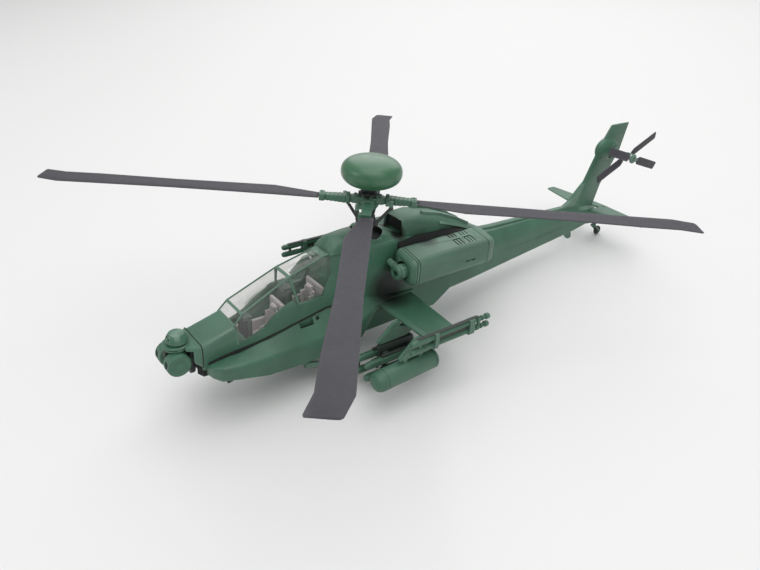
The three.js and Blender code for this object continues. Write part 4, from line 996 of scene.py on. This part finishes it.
def tip_tube(z):
    """One launch tube: fat front body, slim waist with bands, then a finned tail with a nozzle."""
    profile = [
        (0, 0), (0.4, 0.05), (0.75, 0.3), (0.95, 0.8), (1.0, 1.5), (1.0, 6.6), (0.9, 6.9), (0.9, 8.6),
        (1.1, 8.7), (1.1, 10.0), (0.8, 10.1), (0.8, 22.6), (1.05, 22.7), (1.05, 23.4), (0.85, 23.5),
        (0.85, 24.4), (1.05, 24.5), (1.05, 25.2), (0.6, 25.3), (0.6, 26.2), (0.95, 26.3), (0.95, 27.3),
        (0.55, 27.4), (0.55, 28.2), (0.85, 28.3), (0.85, 28.8), (0.55, 28.9), (0.55, 30.0), (0.95, 30.2),
        (0.95, 31.3), (0.8, 31.6), (0.4, 31.6), (0.4, 31), (0, 31),
    ]
    return turned(profile, (TIP_LAUNCHER, TIP_FRONT, z), (0, 1, 0), 28)


def tip_launcher():
    """Two tubes on an arm at the wing's tip in frames and links, and the dark web and plate on them."""
    x, (upper, lower) = TIP_LAUNCHER, TIP_ROWS
    arm = block((WING_TIP - 0.2, x), (0.4, 10.6), (-33.6, -32.5))
    top, bottom = upper + 1.1, lower - 1.1
    outline = rounded([(1.15, top), (-1.15, top), (-1.15, bottom), (1.15, bottom)], 0.5, 3)
    frames = [cross_plate(outline, (y, y + long), (x, 0)) for y, long in ((-0.9, 1.5), (13.2, 2.2))]
    links = [block((x - 0.35, x + 0.35), (y, y + 0.8), (lower, upper)) for y in (-6.5, 17.6)]
    plate = [(-7.6, upper + 0.75), (-6.8, upper + 1.15), (17.0, upper + 1.15), (18.2, upper + 0.75)]
    web = block((x - 0.2, x + 0.2), (-1, 15), (lower, upper))
    dark = joined(web, side_plate(plate, (x - 0.75, x + 0.45)))
    return joined(*[tip_tube(z) for z in TIP_ROWS], arm, *frames, *links), dark


def add_wings():
    """The stub wings and what hangs on them."""
    launcher, dark = tip_launcher()
    parts = (
        ("stub_wing", wing(), GREEN, "wing", 0.12),
        ("pylon_inner", pylon(INNER_PYLON), GREEN, "inner_pylon", 0.12),
        ("pylon_outer", pylon(OUTER_PYLON), GREEN, "outer_pylon", 0.12),
        ("missile_launcher", missile_rack(), RACK, "missile_rack", 0.08),
        ("missiles", missiles(), STORES, None, 0.05),
        ("rocket_pod_shell", rocket_pod(), GREEN, "rocket_pod", 0.05),
    )
    for side, label in SIDES:
        for name, shape, finish, node, edge in parts:
            nodes = [f"{node}_{label}"] if node else ()
            piece(f"{name}_{label}", on_side(side, shape), finish, nodes=nodes, edge=edge)
        piece(f"wingtip_launcher_{label}", on_side(side, launcher), STORES, nodes=[f"tip_launcher_{label}"],
              edge=0.05, extra=[(on_side(side, dark), RACK[0])])


# ---------------------------------------------------------------- tail
TAIL_HUB = pivot("tail_rotor_spin")
TAIL_RADIUS, TAIL_CHORD, TAIL_SPACING = 18.9, 3.3, 2.6
TAIL_ANGLES = (-17.3, 21.8)
STABILATOR_SPAN, STABILATOR_Z, STABILATOR_Y = 24.6, -27, 121


def tail_fin():
    """The fin, the bulge for the tail gearbox and the cap on the bulge."""
    blade = foil_loft(lambda z, a, t: (t, a, z), [
        (-27, 106.6, 122.2, 2.4), (-16.4, 111.4, 124.9, 2.4), (-3.5, 116.9, 133, 2.4),
        (3.1, 120.1, 134.3, 2.0), (8.2, 123.05, 135.4, 1.5), (8.7, 123.6, 135.2, 0.9)])
    place = Matrix.Translation((0, TAIL_HUB.y - 2.3, TAIL_HUB.z + 1.2)) @ Matrix.Diagonal((2.6, 6.6, 4.9, 1))
    fairing = moved(turned(egg(1, 1, 24), direction=(0, 1, 0), sides=40), place)
    cap = turned([(0, 0), (2.4, 0), (2.4, 1.1), (2.25, 1.25), (1.95, 1.3), (0, 1.35)],
                 (1.5, TAIL_HUB.y - 0.6, TAIL_HUB.z + 1.4), (1, 0, 0), 36)
    return joined(blade, fairing, cap)


def tail_gearbox():
    """The turned gearbox that carries the tail rotor."""
    reach = TAIL_HUB.x - 4.8
    casing = [
        (0, 0), (2.9, 0), (2.75, 0.7), (2.3, 1.5), (2.2, 1.9), (1.75, 2.6), (1.5, 3.4), (1.6, 3.5),
        (1.6, 3.9),
        (1.35, 4.0), (1.3, reach), (0, reach),
    ]
    return turned(casing, (1.5, TAIL_HUB.y, TAIL_HUB.z), (1, 0, 0), 36)


def tail_pair(offset, degrees):
    """Two opposite blades of the tail rotor, and the yoke and cuffs that hold them."""
    half = TAIL_CHORD / 2
    sections = [(2.9, 0.6, 0.62), (4.6, half, 0.6), (12, half, 0.5), (TAIL_RADIUS - 0.4, half, 0.42),
                (TAIL_RADIUS, half - 0.35, 0.3)]
    sections = [(r, wide, -wide, thick) for r, wide, thick in sections]
    blade = foil_loft(lambda r, a, t: (r, a, t), sections, 0.2)
    cuff = bar((1.3, 0, 0), (3.3, 0, 0), 0.42, 0.36, 16)
    yoke = turned([(0.95, -0.45), (1.75, -0.45), (1.9, -0.3), (1.9, 0.3), (1.75, 0.45), (0.95, 0.45)],
                  hollow=True)
    twist = Matrix.Rotation(math.radians(6), 4, "X")
    turns = [Matrix.Rotation(turn, 4, "Z") for turn in (0, math.pi)]
    lie = Matrix(((0, 0, 1), (1, 0, 0), (0, 1, 0))).to_4x4()
    centre = TAIL_HUB + Vector((offset, 0, 0))
    place = Matrix.Translation(centre) @ lie @ Matrix.Rotation(math.radians(degrees), 4, "Z")
    blades = joined(*[moved(blade, turn @ twist) for turn in turns])
    return moved(blades, place), moved(joined(yoke, *[moved(cuff, turn) for turn in turns]), place)


def tail_hub():
    """The spindle through both pairs of blades, with a disc and four pitch links."""
    x, y, z = TAIL_HUB
    spindle = [(0, -2.9), (0.7, -2.9), (0.7, 1.9), (0.5, 2.25), (0, 2.3)]
    disc = [(0.7, -2.8), (1.3, -2.8), (1.4, -2.7), (1.4, -2.3), (1.3, -2.2), (0.7, -2.2)]
    links = []
    for k in range(4):
        angle = math.radians(TAIL_ANGLES[1]) + math.pi / 2 * k
        across, up = math.cos(angle), math.sin(angle)
        start = (x - 2.4, y + 1.1 * across, z + 1.1 * up)
        end = (x - 0.6, y + 1.5 * across, z + 1.5 * up)
        links.append(bar(start, end, 0.2, sides=10))
    along = (1, 0, 0)
    return joined(turned(spindle, TAIL_HUB, along), turned(disc, TAIL_HUB, along, hollow=True), *links)


def stabilator():
    """The tailplane: a panel on each side, the part between them and the pin they tilt on."""
    def place(x, a, t):
        return x, a, STABILATOR_Z + t

    sections = [(2.6, 117.75, 129.7, 1.5), (STABILATOR_SPAN - 0.5, 122.85, 127.95, 0.95),
                (STABILATOR_SPAN, 123.2, 127.7, 0.6)]
    panels = [foil_loft(place, [(side * x, *rest) for x, *rest in sections]) for side, _ in SIDES]
    middle = foil_loft(place, [(x, 124.9, 129.8, 1.1) for x in (-2.8, 2.8)])
    tilt = pin(Vector((0, STABILATOR_Y, STABILATOR_Z)), (-3.4, 3.4), 0.5, 16)
    return joined(*panels, middle, tilt)


def boom_antenna():
    """The blade aerial under the boom."""
    outline = [(105.9, -34), (110, -33.6), (111.6, -38), (111.3, -38.8), (109.2, -38.8), (107.2, -37)]
    return side_plate(rounded(outline, 0.5, 3), (-0.5, 0.5))


def add_tail():
    """The fin, the tail rotor and the stabilator."""
    piece("tail_fin_blade", tail_fin(), GREEN, nodes=["tail_fin"], edge=0.1)
    piece("boom_aerial", boom_antenna(), GREEN, nodes=["boom_antenna"], edge=0.1)
    piece("tail_gearbox_case", tail_gearbox(), GREEN, nodes=["tail_gearbox"], edge=0.1)
    piece("tail_rotor_spindle", tail_hub(), GREEN, "tail_rotor", ["tail_rotor_hub"], edge=0.05)
    for name, offset, degrees in (
            ("outer", TAIL_SPACING / 2 + 0.4, TAIL_ANGLES[0]),
            ("inner", -TAIL_SPACING / 2 + 0.2, TAIL_ANGLES[1])):
        blades, yoke = tail_pair(offset, degrees)
        piece(f"tail_pair_{name}", blades, BLADE, "tail_rotor", [f"tail_blades_{name}"], edge=0,
              extra=[(yoke, GREEN[0])])
    piece("stabilator_slab", stabilator(), GREEN, "stabilator", ["stabilator"], edge=0.08)


# ---------------------------------------------------------------- landing gear
# Radius and width of a tyre, and the radius of the ring of bolts on a main wheel.
MAIN_WHEEL, TAIL_WHEEL, BOLT_CIRCLE = (4.6, 3.2), (1.9, 1.2), 1.75


def wheel(centre, radius, width):
    """A tyre with a rounded tread and a dished disc on both sides; x runs along the axle."""
    half, rim, bore = width / 2, radius * 0.56, radius * 0.2

    def both_sides(edge):
        return [(r, -half * part) for r, part in edge] + [(r, half * part) for r, part in reversed(edge)]

    tread = both_sides([
        (rim, 0.8), (rim + 0.15, 0.95), (radius * 0.8, 1), (radius * 0.93, 0.86), (radius * 0.985, 0.6),
        (radius, 0.3)])
    disc = both_sides([(bore, 0.5), (rim * 0.5, 0.62), (rim * 0.85, 0.45), (rim, 0.75)])
    along = (1, 0, 0)
    return turned(tread, centre, along, 64, hollow=True), turned(disc, centre, along, 48, hollow=True)


def add_wheels():
    """The three wheels and their legs."""
    for side, label in SIDES:
        hub = pivot(f"{label}_wheel_spin")
        tyre, disc = wheel(hub, *MAIN_WHEEL)
        bolts = []
        for k in range(6):
            angle = math.pi * k / 3
            spot = hub + Vector((side * 0.7, BOLT_CIRCLE * math.cos(angle), BOLT_CIRCLE * math.sin(angle)))
            bolts.append(bar(spot, spot + Vector((side * 0.35, 0, 0)), 0.2, sides=10))
        more = [(joined(disc, *bolts), GREEN[0])]
        piece(f"wheel_{label}", tyre, TYRE, f"{label}_wheel", [f"main_wheel_{label}"], edge=0, extra=more)
        leg = on_side(side, main_leg(hub))
        piece(f"leg_{label}", leg, GREEN, nodes=[f"gear_leg_{label}"], edge=0.08)
    tyre, disc = wheel(pivot("tail_wheel_spin"), *TAIL_WHEEL)
    piece("wheel_tail", tyre, TYRE, "tail_wheel", ["tail_wheel"], edge=0, extra=[(disc, DARK[0])])
    add_tail_gear()


# A main leg on port: its top, its strut's top and the inner face of its wheel.
LEG_TOP, STRUT_TOP, WHEEL_FACE = Vector((10.3, -28.5, -45.3)), (9.2, -9.6, -44.6), 12.5


def main_leg(hub):
    """The port leg: its tube in two widths with a collar, its axle, and the strut behind it."""
    foot = Vector((WHEEL_FACE - 1.3, hub.y, hub.z))
    middle = LEG_TOP.lerp(foot, 0.45)
    strut = Vector((WHEEL_FACE - 1.4, hub.y - 2, hub.z + 0.8))
    return joined(
        bar(LEG_TOP, middle, 1.0, sides=28), bar(middle, foot, 0.8, sides=28),
        bar(LEG_TOP.lerp(foot, 0.42), LEG_TOP.lerp(foot, 0.5), 1.12),
        pin(hub, (WHEEL_FACE - 1.9, WHEEL_FACE + 1.6), 0.7, 24),
        pin(hub, (WHEEL_FACE + 1.5, WHEEL_FACE + 1.9), 0.5, 16),
        bar(strut, STRUT_TOP, 0.55, sides=24), bar(strut, strut.lerp(STRUT_TOP, 0.5), 0.75, sides=24),
        pin(strut, (WHEEL_FACE - 2.1, WHEEL_FACE - 0.7), 0.75))


def add_tail_gear():
    """The tail leg and the castor fork under it."""
    hub, swivel = pivot("tail_wheel_spin"), pivot("tail_castor_swivel")
    down = TO_AIRFRAME.to_3x3() @ Vector((0, 0, MM))
    strut = joined(
        bar((0, 119, -33.2), swivel + down * 2.4, 0.9, 0.8, 24),
        bar(swivel + down * 3.2, swivel + down * 1.2, 1.1, sides=28))
    piece("tail_leg", strut, GREEN, nodes=["tail_strut"], edge=0.1)
    bridge = swivel - down * 0.1
    arms = [bar(bridge + Vector((x, 0, 0)), (x, hub.y, hub.z), 0.42, 0.36, 16) for x in (1.15, -1.15)]
    caps = [pin(hub, (x - 0.2, x + 0.2), 0.5) for x in (1.2, -1.2)]
    fork = joined(
        bar(swivel + down * 0.9, swivel - down * 0.5, 0.9, sides=24), pin(bridge, (-1.4, 1.4), 0.5),
        pin(hub, (-1.3, 1.3), 0.36, 16), *arms, *caps)
    piece("castor_fork", fork, GREEN, "tail_castor", ["tail_fork"], edge=0.06)


# ---------------------------------------------------------------- gun
MUZZLE = Vector((0, -49.5, -49.6))


def add_gun():
    """The gun's cradle and the gun."""
    turret = pivot("gun_elevation")
    y, z = turret.y, turret.z
    ring = turned([(0, -45.4), (2.6, -45.4), (2.8, -45.2), (2.8, -43.6), (0, -43.6)], (0, y, 0), sides=40)
    outline = rounded([(y - 1.4, -45), (y - 1.1, z - 0.9), (y + 1.1, z - 0.9), (y + 1.4, -45)], 0.7)
    ears = []
    for side, _ in SIDES:
        ears += [side_plate(outline, sorted((side * 1.7, side * 2.6))),
                 pin(turret, (side * 2.4, side * 2.85), 0.5)]
    piece("gun_cradle", joined(ring, *ears), GREEN, "gun_turret", ["gun_mount"], edge=0.08)
    length = (MUZZLE - turret).length
    barrel = [
        (0, 0), (0.85, 0), (0.85, length * 0.3), (0.6, length * 0.36), (0.42, length * 0.4),
        (0.42, length * 0.62), (0.5, length * 0.63), (0.5, length * 0.66), (0.42, length * 0.67),
        (0.42, length * 0.92), (0.6, length * 0.93), (0.62, length - 0.15), (0.52, length), (0.25, length),
        (0.25, length - 1), (0, length - 1),
    ]
    gun = joined(
        block((-1.2, 1.2), (y - 3.4, y + 5.2), (z - 1.2, z + 1.2)),
        block((-1.3, 1.3), (y - 0.5, y + 3.4), (z - 0.6, z + 1.3)),
        turned(barrel, turret, (MUZZLE - turret).normalized(), 24), pin(turret, (-1.6, 1.6), 0.45, 16))
    piece("chain_gun", gun, DARK, "gun", ["gun"], edge=0.06)


# ---------------------------------------------------------------- nose and sights
DRUM_RADIUS, DRUM_FACE, DRUM_DEPTH = 3.45, 4.9, 3.7
# Sections of the snout: y, half width, top z, bottom z.
SNOUT = [
    (-58.9, 6.15, -29.85, -37.2), (-59.3, 6.1, -29.95, -37), (-60.4, 5.7, -30.0, -36),
    (-61.6, 4.9, -30.1, -35), (-62.8, 3.9, -30.2, -34),
]


def add_nose():
    """The snout and the sights on it."""
    snout = [box_ring(0, y, (top + low) / 2, wide, (top - low) / 2, 1.5) for y, wide, top, low in SNOUT]
    disc = turned([
        (0, -31.35), (3.3, -31.35), (3.5, -31.2), (3.5, -30.75), (3.3, -30.65), (3.3, -30.5), (3.6, -30.4),
        (3.6, -30.1), (3.35, -29.95), (0, -29.9)], (0, -64.2, 0), sides=48)
    clearing = sight_well(WELL_RADIUS + 0.1, WELL_ROOF)
    seam = cut(loft([box_ring(0, y, -33.5, 6.28, 3.72, 1.5) for y in (-59.12, -58.9)]), clearing)
    nose = joined(cut(loft(snout), clearing), disc)
    piece("nose_cap", nose, GREEN, nodes=["nose_fairing"], edge=0.15, extra=[(seam, DEEP)])
    sight = pivot("sight_drums_pitch")
    piece("sight_bracket", sight_bracket(sight.y), DARK, "sight_turret", ["sight_yoke"])
    drums, lenses = sight_heads(sight)
    piece("sight_heads", drums, GREEN, "sight_drums", ["sight_drums"], edge=0.06, extra=[(lenses, LENS)])
    add_night_sight()


def sight_bracket(y):
    """The yoke between the two sight heads, and the housing behind it."""
    yoke = rounded([(y - 2.6, -31.6), (y - 2.2, -36.9), (y + 2.2, -36.9), (y + 2.6, -31.6)], 1)
    front, back = y + 3.75, y + 5.3
    housing = []
    for level, wide in ((-40.5, 2.0), (-39.6, 2.5), (-33.2, 2.5), (-32.6, 2.3)):
        outline = rounded([(wide, back), (-wide, back), (-wide, front), (wide, front)], 0.4)
        housing.append([(p.x, p.y, level) for p in outline])
    spine = block((-0.8, 0.8), (y + 1, y + 4), (-36.4, -33))
    return joined(side_plate(yoke, (-0.85, 0.85)), loft(housing), spine)


def sight_heads(sight):
    """The two drums with a window cut in each, their spindle, and the lenses in the windows."""
    r, deep, y, z = DRUM_RADIUS, DRUM_DEPTH, sight.y, sight.z
    profile = [
        (0, 0), (r - 0.5, 0), (r - 0.15, 0.15), (r, 0.5), (r, 2.7), (r - 0.08, 2.9), (r - 0.08, 3.0),
        (r, 3.15), (r - 0.12, 3.45), (r - 0.5, deep), (2.2, deep), (2.1, deep - 0.12), (0.9, deep - 0.12),
        (0.8, deep), (0, deep),
    ]
    drums, lenses = [], []
    for side, _ in SIDES:
        drum = turned(profile, (side * (DRUM_FACE - deep), y, z), (side, 0, 0), 56)
        window = block(sorted((side * 2.3, side * 4.5)), (y - 5, y - 2.75), (z - 1.55, z + 1.55))
        drums.append(cut(drum, window))
        x = side * 3.4
        lenses.append(block((x - 0.95, x + 0.95), (y - 2.95, y - 2.72), (z - 1.35, z + 1.35)))
    return joined(*drums, pin(sight, (-1.3, 1.3), 0.85, 28)), joined(*lenses)


def add_night_sight():
    """A low round turret with sloping sides; its eye and a small window look forward."""
    y = pivot("night_sight_yaw").y
    body = turned([
        (0, -29.6), (2.9, -29.6), (3.1, -29.45), (3.1, -28.75), (3.0, -28.5), (2.35, -27.2), (2.15, -27.0),
        (0, -26.95)], (0, y, 0), sides=56)
    mouth = bar((-0.7, y - 3.6, -28.1), (-0.7, y - 1.9, -27.9), 0.72, sides=28)
    window = bar((0.9, y - 3.6, -28.2), (0.9, y - 2.2, -28.1), 0.34)
    eye = bar((-0.7, y - 2.2, -27.9), (-0.7, y - 1.8, -27.9), 0.72, sides=28)
    turret = cut(body, mouth, window)
    piece("night_sight_turret", turret, GREEN, "night_sight", ["night_sight"], edge=0.07, extra=[(eye, LENS)])


# ---------------------------------------------------------------- cockpit and canopy
GUNNER_FLOOR, PILOT_FLOOR = -36.6, -33.2


def seat(y, z):
    """An armoured seat and its cushions, with the back's rear face at y and the pan's foot at z."""
    def pad(x, along, height):
        front, back = y + along[0], y + along[1]
        outline = rounded([(x[1], front), (x[1], back), (x[0], back), (x[0], front)], 0.35, 3)
        return loft([[(p.x, p.y, z + level) for p in outline] for level in height])

    shell = joined(
        pad((-2.6, 2.6), (-4.2, 0), (0, 1.2)), pad((-2.6, 2.6), (-0.6, 0), (0, 7.6)),
        pad((2.1, 2.6), (-2.2, 0), (1, 6.4)), pad((-2.6, -2.1), (-2.2, 0), (1, 6.4)),
        pad((-1.5, 1.5), (-0.6, 0), (7, 9)))
    cushions = joined(
        pad((-2, 2), (-4.1, -0.9), (1.15, 1.8)), pad((-1.9, 1.9), (-1.15, -0.5), (1.9, 4.3)),
        pad((-1.9, 1.9), (-1.15, -0.5), (4.45, 6.9)), pad((-1.2, 1.2), (-1.2, -0.5), (7.2, 8.8)))
    return shell, cushions


def panel(y, z, high):
    """An instrument panel under a coaming, and the two screens and four knobs on its face."""
    face, top = y + 1.4, z + high
    coaming = [(y - 1, top - 1), (y - 0.6, top - 0.2), (y + 0.6, top), (y + 2.1, top - 0.3),
               (y + 2.2, top - 0.9)]
    body = joined(block((-3.2, 3.2), (y, face), (z, top - 0.6)), side_plate(coaming, (-2.4, 2.4)))
    screens = [block((x - 1.15, x + 1.15), (face - 0.05, face + 0.12), (top - 4.2, top - 1.8))
               for x in (-1.75, 1.75)]
    knobs = [bar((x, face - 0.1, top - 5.4), (x, face + 0.35, top - 5.4), 0.25, sides=12)
             for x in (-2, -0.7, 0.7, 2)]
    return body, joined(*screens, *knobs)


def add_cockpit():
    """The cockpit's tub, two seats and two instrument panels."""
    piece("cockpit_floor", cad_shape("cockpit_tub"), INTERIOR, nodes=["cockpit_tub"], edge=0.15)
    for name, y, z in (("gunner_seat", -32.8, GUNNER_FLOOR), ("pilot_seat", -20.4, PILOT_FLOOR)):
        shell, cushions = seat(y, z)
        piece(f"{name}_shell", shell, INTERIOR, nodes=[name], edge=0.15)
        piece(f"{name}_cushions", cushions, SEAT, edge=0.2)
    for name, y, z, high in (("gunner_panel", -43.6, GUNNER_FLOOR, 9),
                             ("pilot_panel", -30.2, PILOT_FLOOR, 11.4)):
        body, screens = panel(y, z, high)
        piece(f"{name}_console", body, CONSOLE, nodes=[name], extra=[(screens, DEEP)])


CANOPY_END = -16.6


def canopy_skin(outer, inner):
    """The canopy's own skin between two depths below the hull's surface."""
    over_cockpit = combined("INTERSECT", above_sill(), block((-12, 12), (-60, CANOPY_END), (-60, 0)))
    return cut(combined("INTERSECT", hull(outer), over_cockpit), hull(inner))


def rail(points, wide, deep, outward, proud=0.06):
    """A flat bar along points on a surface; wide is one width or a width for each point."""
    rings = []
    up = Vector(outward).normalized()
    widths = wide if isinstance(wide, list) else [wide] * len(points)
    for i, (point, width) in enumerate(zip(points, widths)):
        here = Vector(point)
        along = Vector(points[min(i + 1, len(points) - 1)]) - Vector(points[max(i - 1, 0)])
        across = along.cross(up).normalized() * width / 2
        normal = across.cross(along).normalized()
        if normal.dot(up) < 0:
            normal = -normal
        top, low = here + normal * proud, here - normal * deep
        rings.append([top + across, top - across, low - across, low + across])
    return loft(rings)


# Corners of the canopy on port: the windscreen's foot and head, the roof rail's bend and end, and the
# feet of the middle pillar and of the front one.
SCREEN_FOOT, SCREEN_HEAD = Vector((5.15, -48.75, -27.0)), Vector((4.75, -46.2, -24.15))
RAIL_BEND, RAIL_END = Vector((3.85, -30.3, -17.05)), Vector((3.25, -18.6, -13.8))
PILLAR_FOOT, FRONT_FOOT = Vector((7.0, -28.7, -25.5)), Vector((6.65, -48.5, -32.6))
BAR_DEPTH = 0.4


def canopy_bars():
    """The canopy's frame: four bars across it, and on each side the corners, roof rail and pillars."""
    out = Vector((0.15, 0, 0))
    roof = [SCREEN_HEAD, SCREEN_HEAD.lerp(RAIL_BEND, 0.5), RAIL_BEND, RAIL_BEND.lerp(RAIL_END, 0.5), RAIL_END,
            RAIL_END + Vector((0.1, 2, 0.4))]
    pillar = [RAIL_BEND, RAIL_BEND.lerp(PILLAR_FOOT, 0.5) + out, PILLAR_FOOT]
    middle = SCREEN_FOOT.lerp(FRONT_FOOT, 0.45) + Vector((0.2, 0, 0))
    front = [SCREEN_FOOT + Vector((0.2, 0, -0.2)), middle, FRONT_FOOT]
    shapes = []
    for corner, wide, outward in (
            (SCREEN_FOOT, 0.75, (0, -0.4, 0.9)), (SCREEN_HEAD, 0.85, (0, -0.5, 0.87)),
            (RAIL_BEND, 1.0, (0, -0.35, 0.94)), (RAIL_END + Vector((0.1, 2, 0.42)), 4.4, (0, -0.2, 0.98))):
        shapes.append(rail([(-corner.x, corner.y, corner.z), corner], wide, BAR_DEPTH, outward))
    for side, _ in SIDES:
        for points, wide, outward in (
                ([SCREEN_FOOT, SCREEN_HEAD], 0.5, (0.5, -0.6, 0.6)), (roof, 0.5, (0.5, -0.25, 0.85)),
                (pillar, [0.95, 0.75, 0.6], (0.93, 0, 0.35)), (front, 0.6, (0.98, 0, 0.2))):
            shapes.append(on_side(side, rail(points, wide, BAR_DEPTH, outward)))
    return joined(*shapes)


def add_canopy():
    """The canopy's frame and its clear skin."""
    piece("canopy_bars", canopy_bars(), GREEN, nodes=["canopy_frame"], edge=0.1)
    piece("canopy_panes", canopy_skin(0.1, 0.4), CLEAR, nodes=["canopy_glass"], edge=0)


# The retainer on the mast shows as its own CAD mesh.
retainer = frame["nodes"]["shaft_retainer"].data
retainer.materials.clear()
retainer.materials.append(DARK[0])

add_fuselage()
add_engines()
add_main_rotor()
add_wings()
add_tail()
add_wheels()
add_gun()
add_nose()
add_cockpit()
add_canopy()


# ---------------------------------------------------------------- floor, light and camera
FLOOR_GREY = (0.765, 0.765, 0.765)
LIGHT_AIM = Vector((0, 0, 0.02))
# Name, place, size in metres and power in watts.
LIGHTS = [
    ("back", (-0.45, 0.52, 0.68), 1.2, 5.6), ("top", (0.2, -0.1, 0.9), 0.9, 4.2),
    ("port_side", (0.75, -0.1, 0.6), 0.8, 1.2), ("nose_side", (-0.2, -0.8, 0.5), 0.35, 1.0),
]
CAMERA_PLACE = Vector((0.14873, -0.14239, 0.13574))
CAMERA_TOWARDS = Vector((-0.6717, 0.5195, -0.5281))
CAMERA_LENS, CAMERA_ROLL = 31.01, 0.31


def plain(name, colour, rough):
    """A smooth material of one colour."""
    material, tree = new_material(name)
    feed(tree, tree.nodes["Principled BSDF"].inputs["Base Color"], colour)
    feed(tree, tree.nodes["Principled BSDF"].inputs["Roughness"], rough)
    return material


def add_stage():
    """A plain pale floor."""
    bpy.ops.mesh.primitive_plane_add(size=6, location=(0, 0, 0))
    floor = bpy.context.object
    floor.name = "floor"
    floor.data.materials.append(plain("pale_floor", FLOOR_GREY, 0.7))


def add_light(name, place, size, power):
    """A square light of a size in metres and a power in watts, aimed at the model."""
    data = bpy.data.lights.new(name, "AREA")
    data.size = size
    data.energy = power
    light = placed(name, data)
    light.location = place
    light.rotation_euler = (LIGHT_AIM - Vector(place)).to_track_quat("-Z", "Y").to_euler()


def add_camera():
    """The camera at the photograph's place, direction and angle of view."""
    data = bpy.data.cameras.new("camera")
    data.sensor_width = 36
    data.lens = CAMERA_LENS
    data.clip_start = 0.01
    camera = placed("camera", data)
    level = CAMERA_TOWARDS.to_track_quat("-Z", "Y")
    camera.rotation_mode = "QUATERNION"
    camera.rotation_quaternion = level @ Quaternion((0, 0, 1), math.radians(CAMERA_ROLL))
    camera.location = CAMERA_PLACE
    bpy.context.scene.camera = camera


def add_world():
    """A pale even light from all round."""
    world = bpy.data.worlds.new("studio")
    world.use_nodes = True
    background = world.node_tree.nodes["Background"]
    background.inputs["Color"].default_value = (1.0, 0.995, 0.99, 1)
    background.inputs["Strength"].default_value = 0.43
    bpy.context.scene.world = world


add_stage()
for light in LIGHTS:
    add_light(*light)
add_camera()
add_world()
bpy.context.scene.view_settings.view_transform = "Standard"
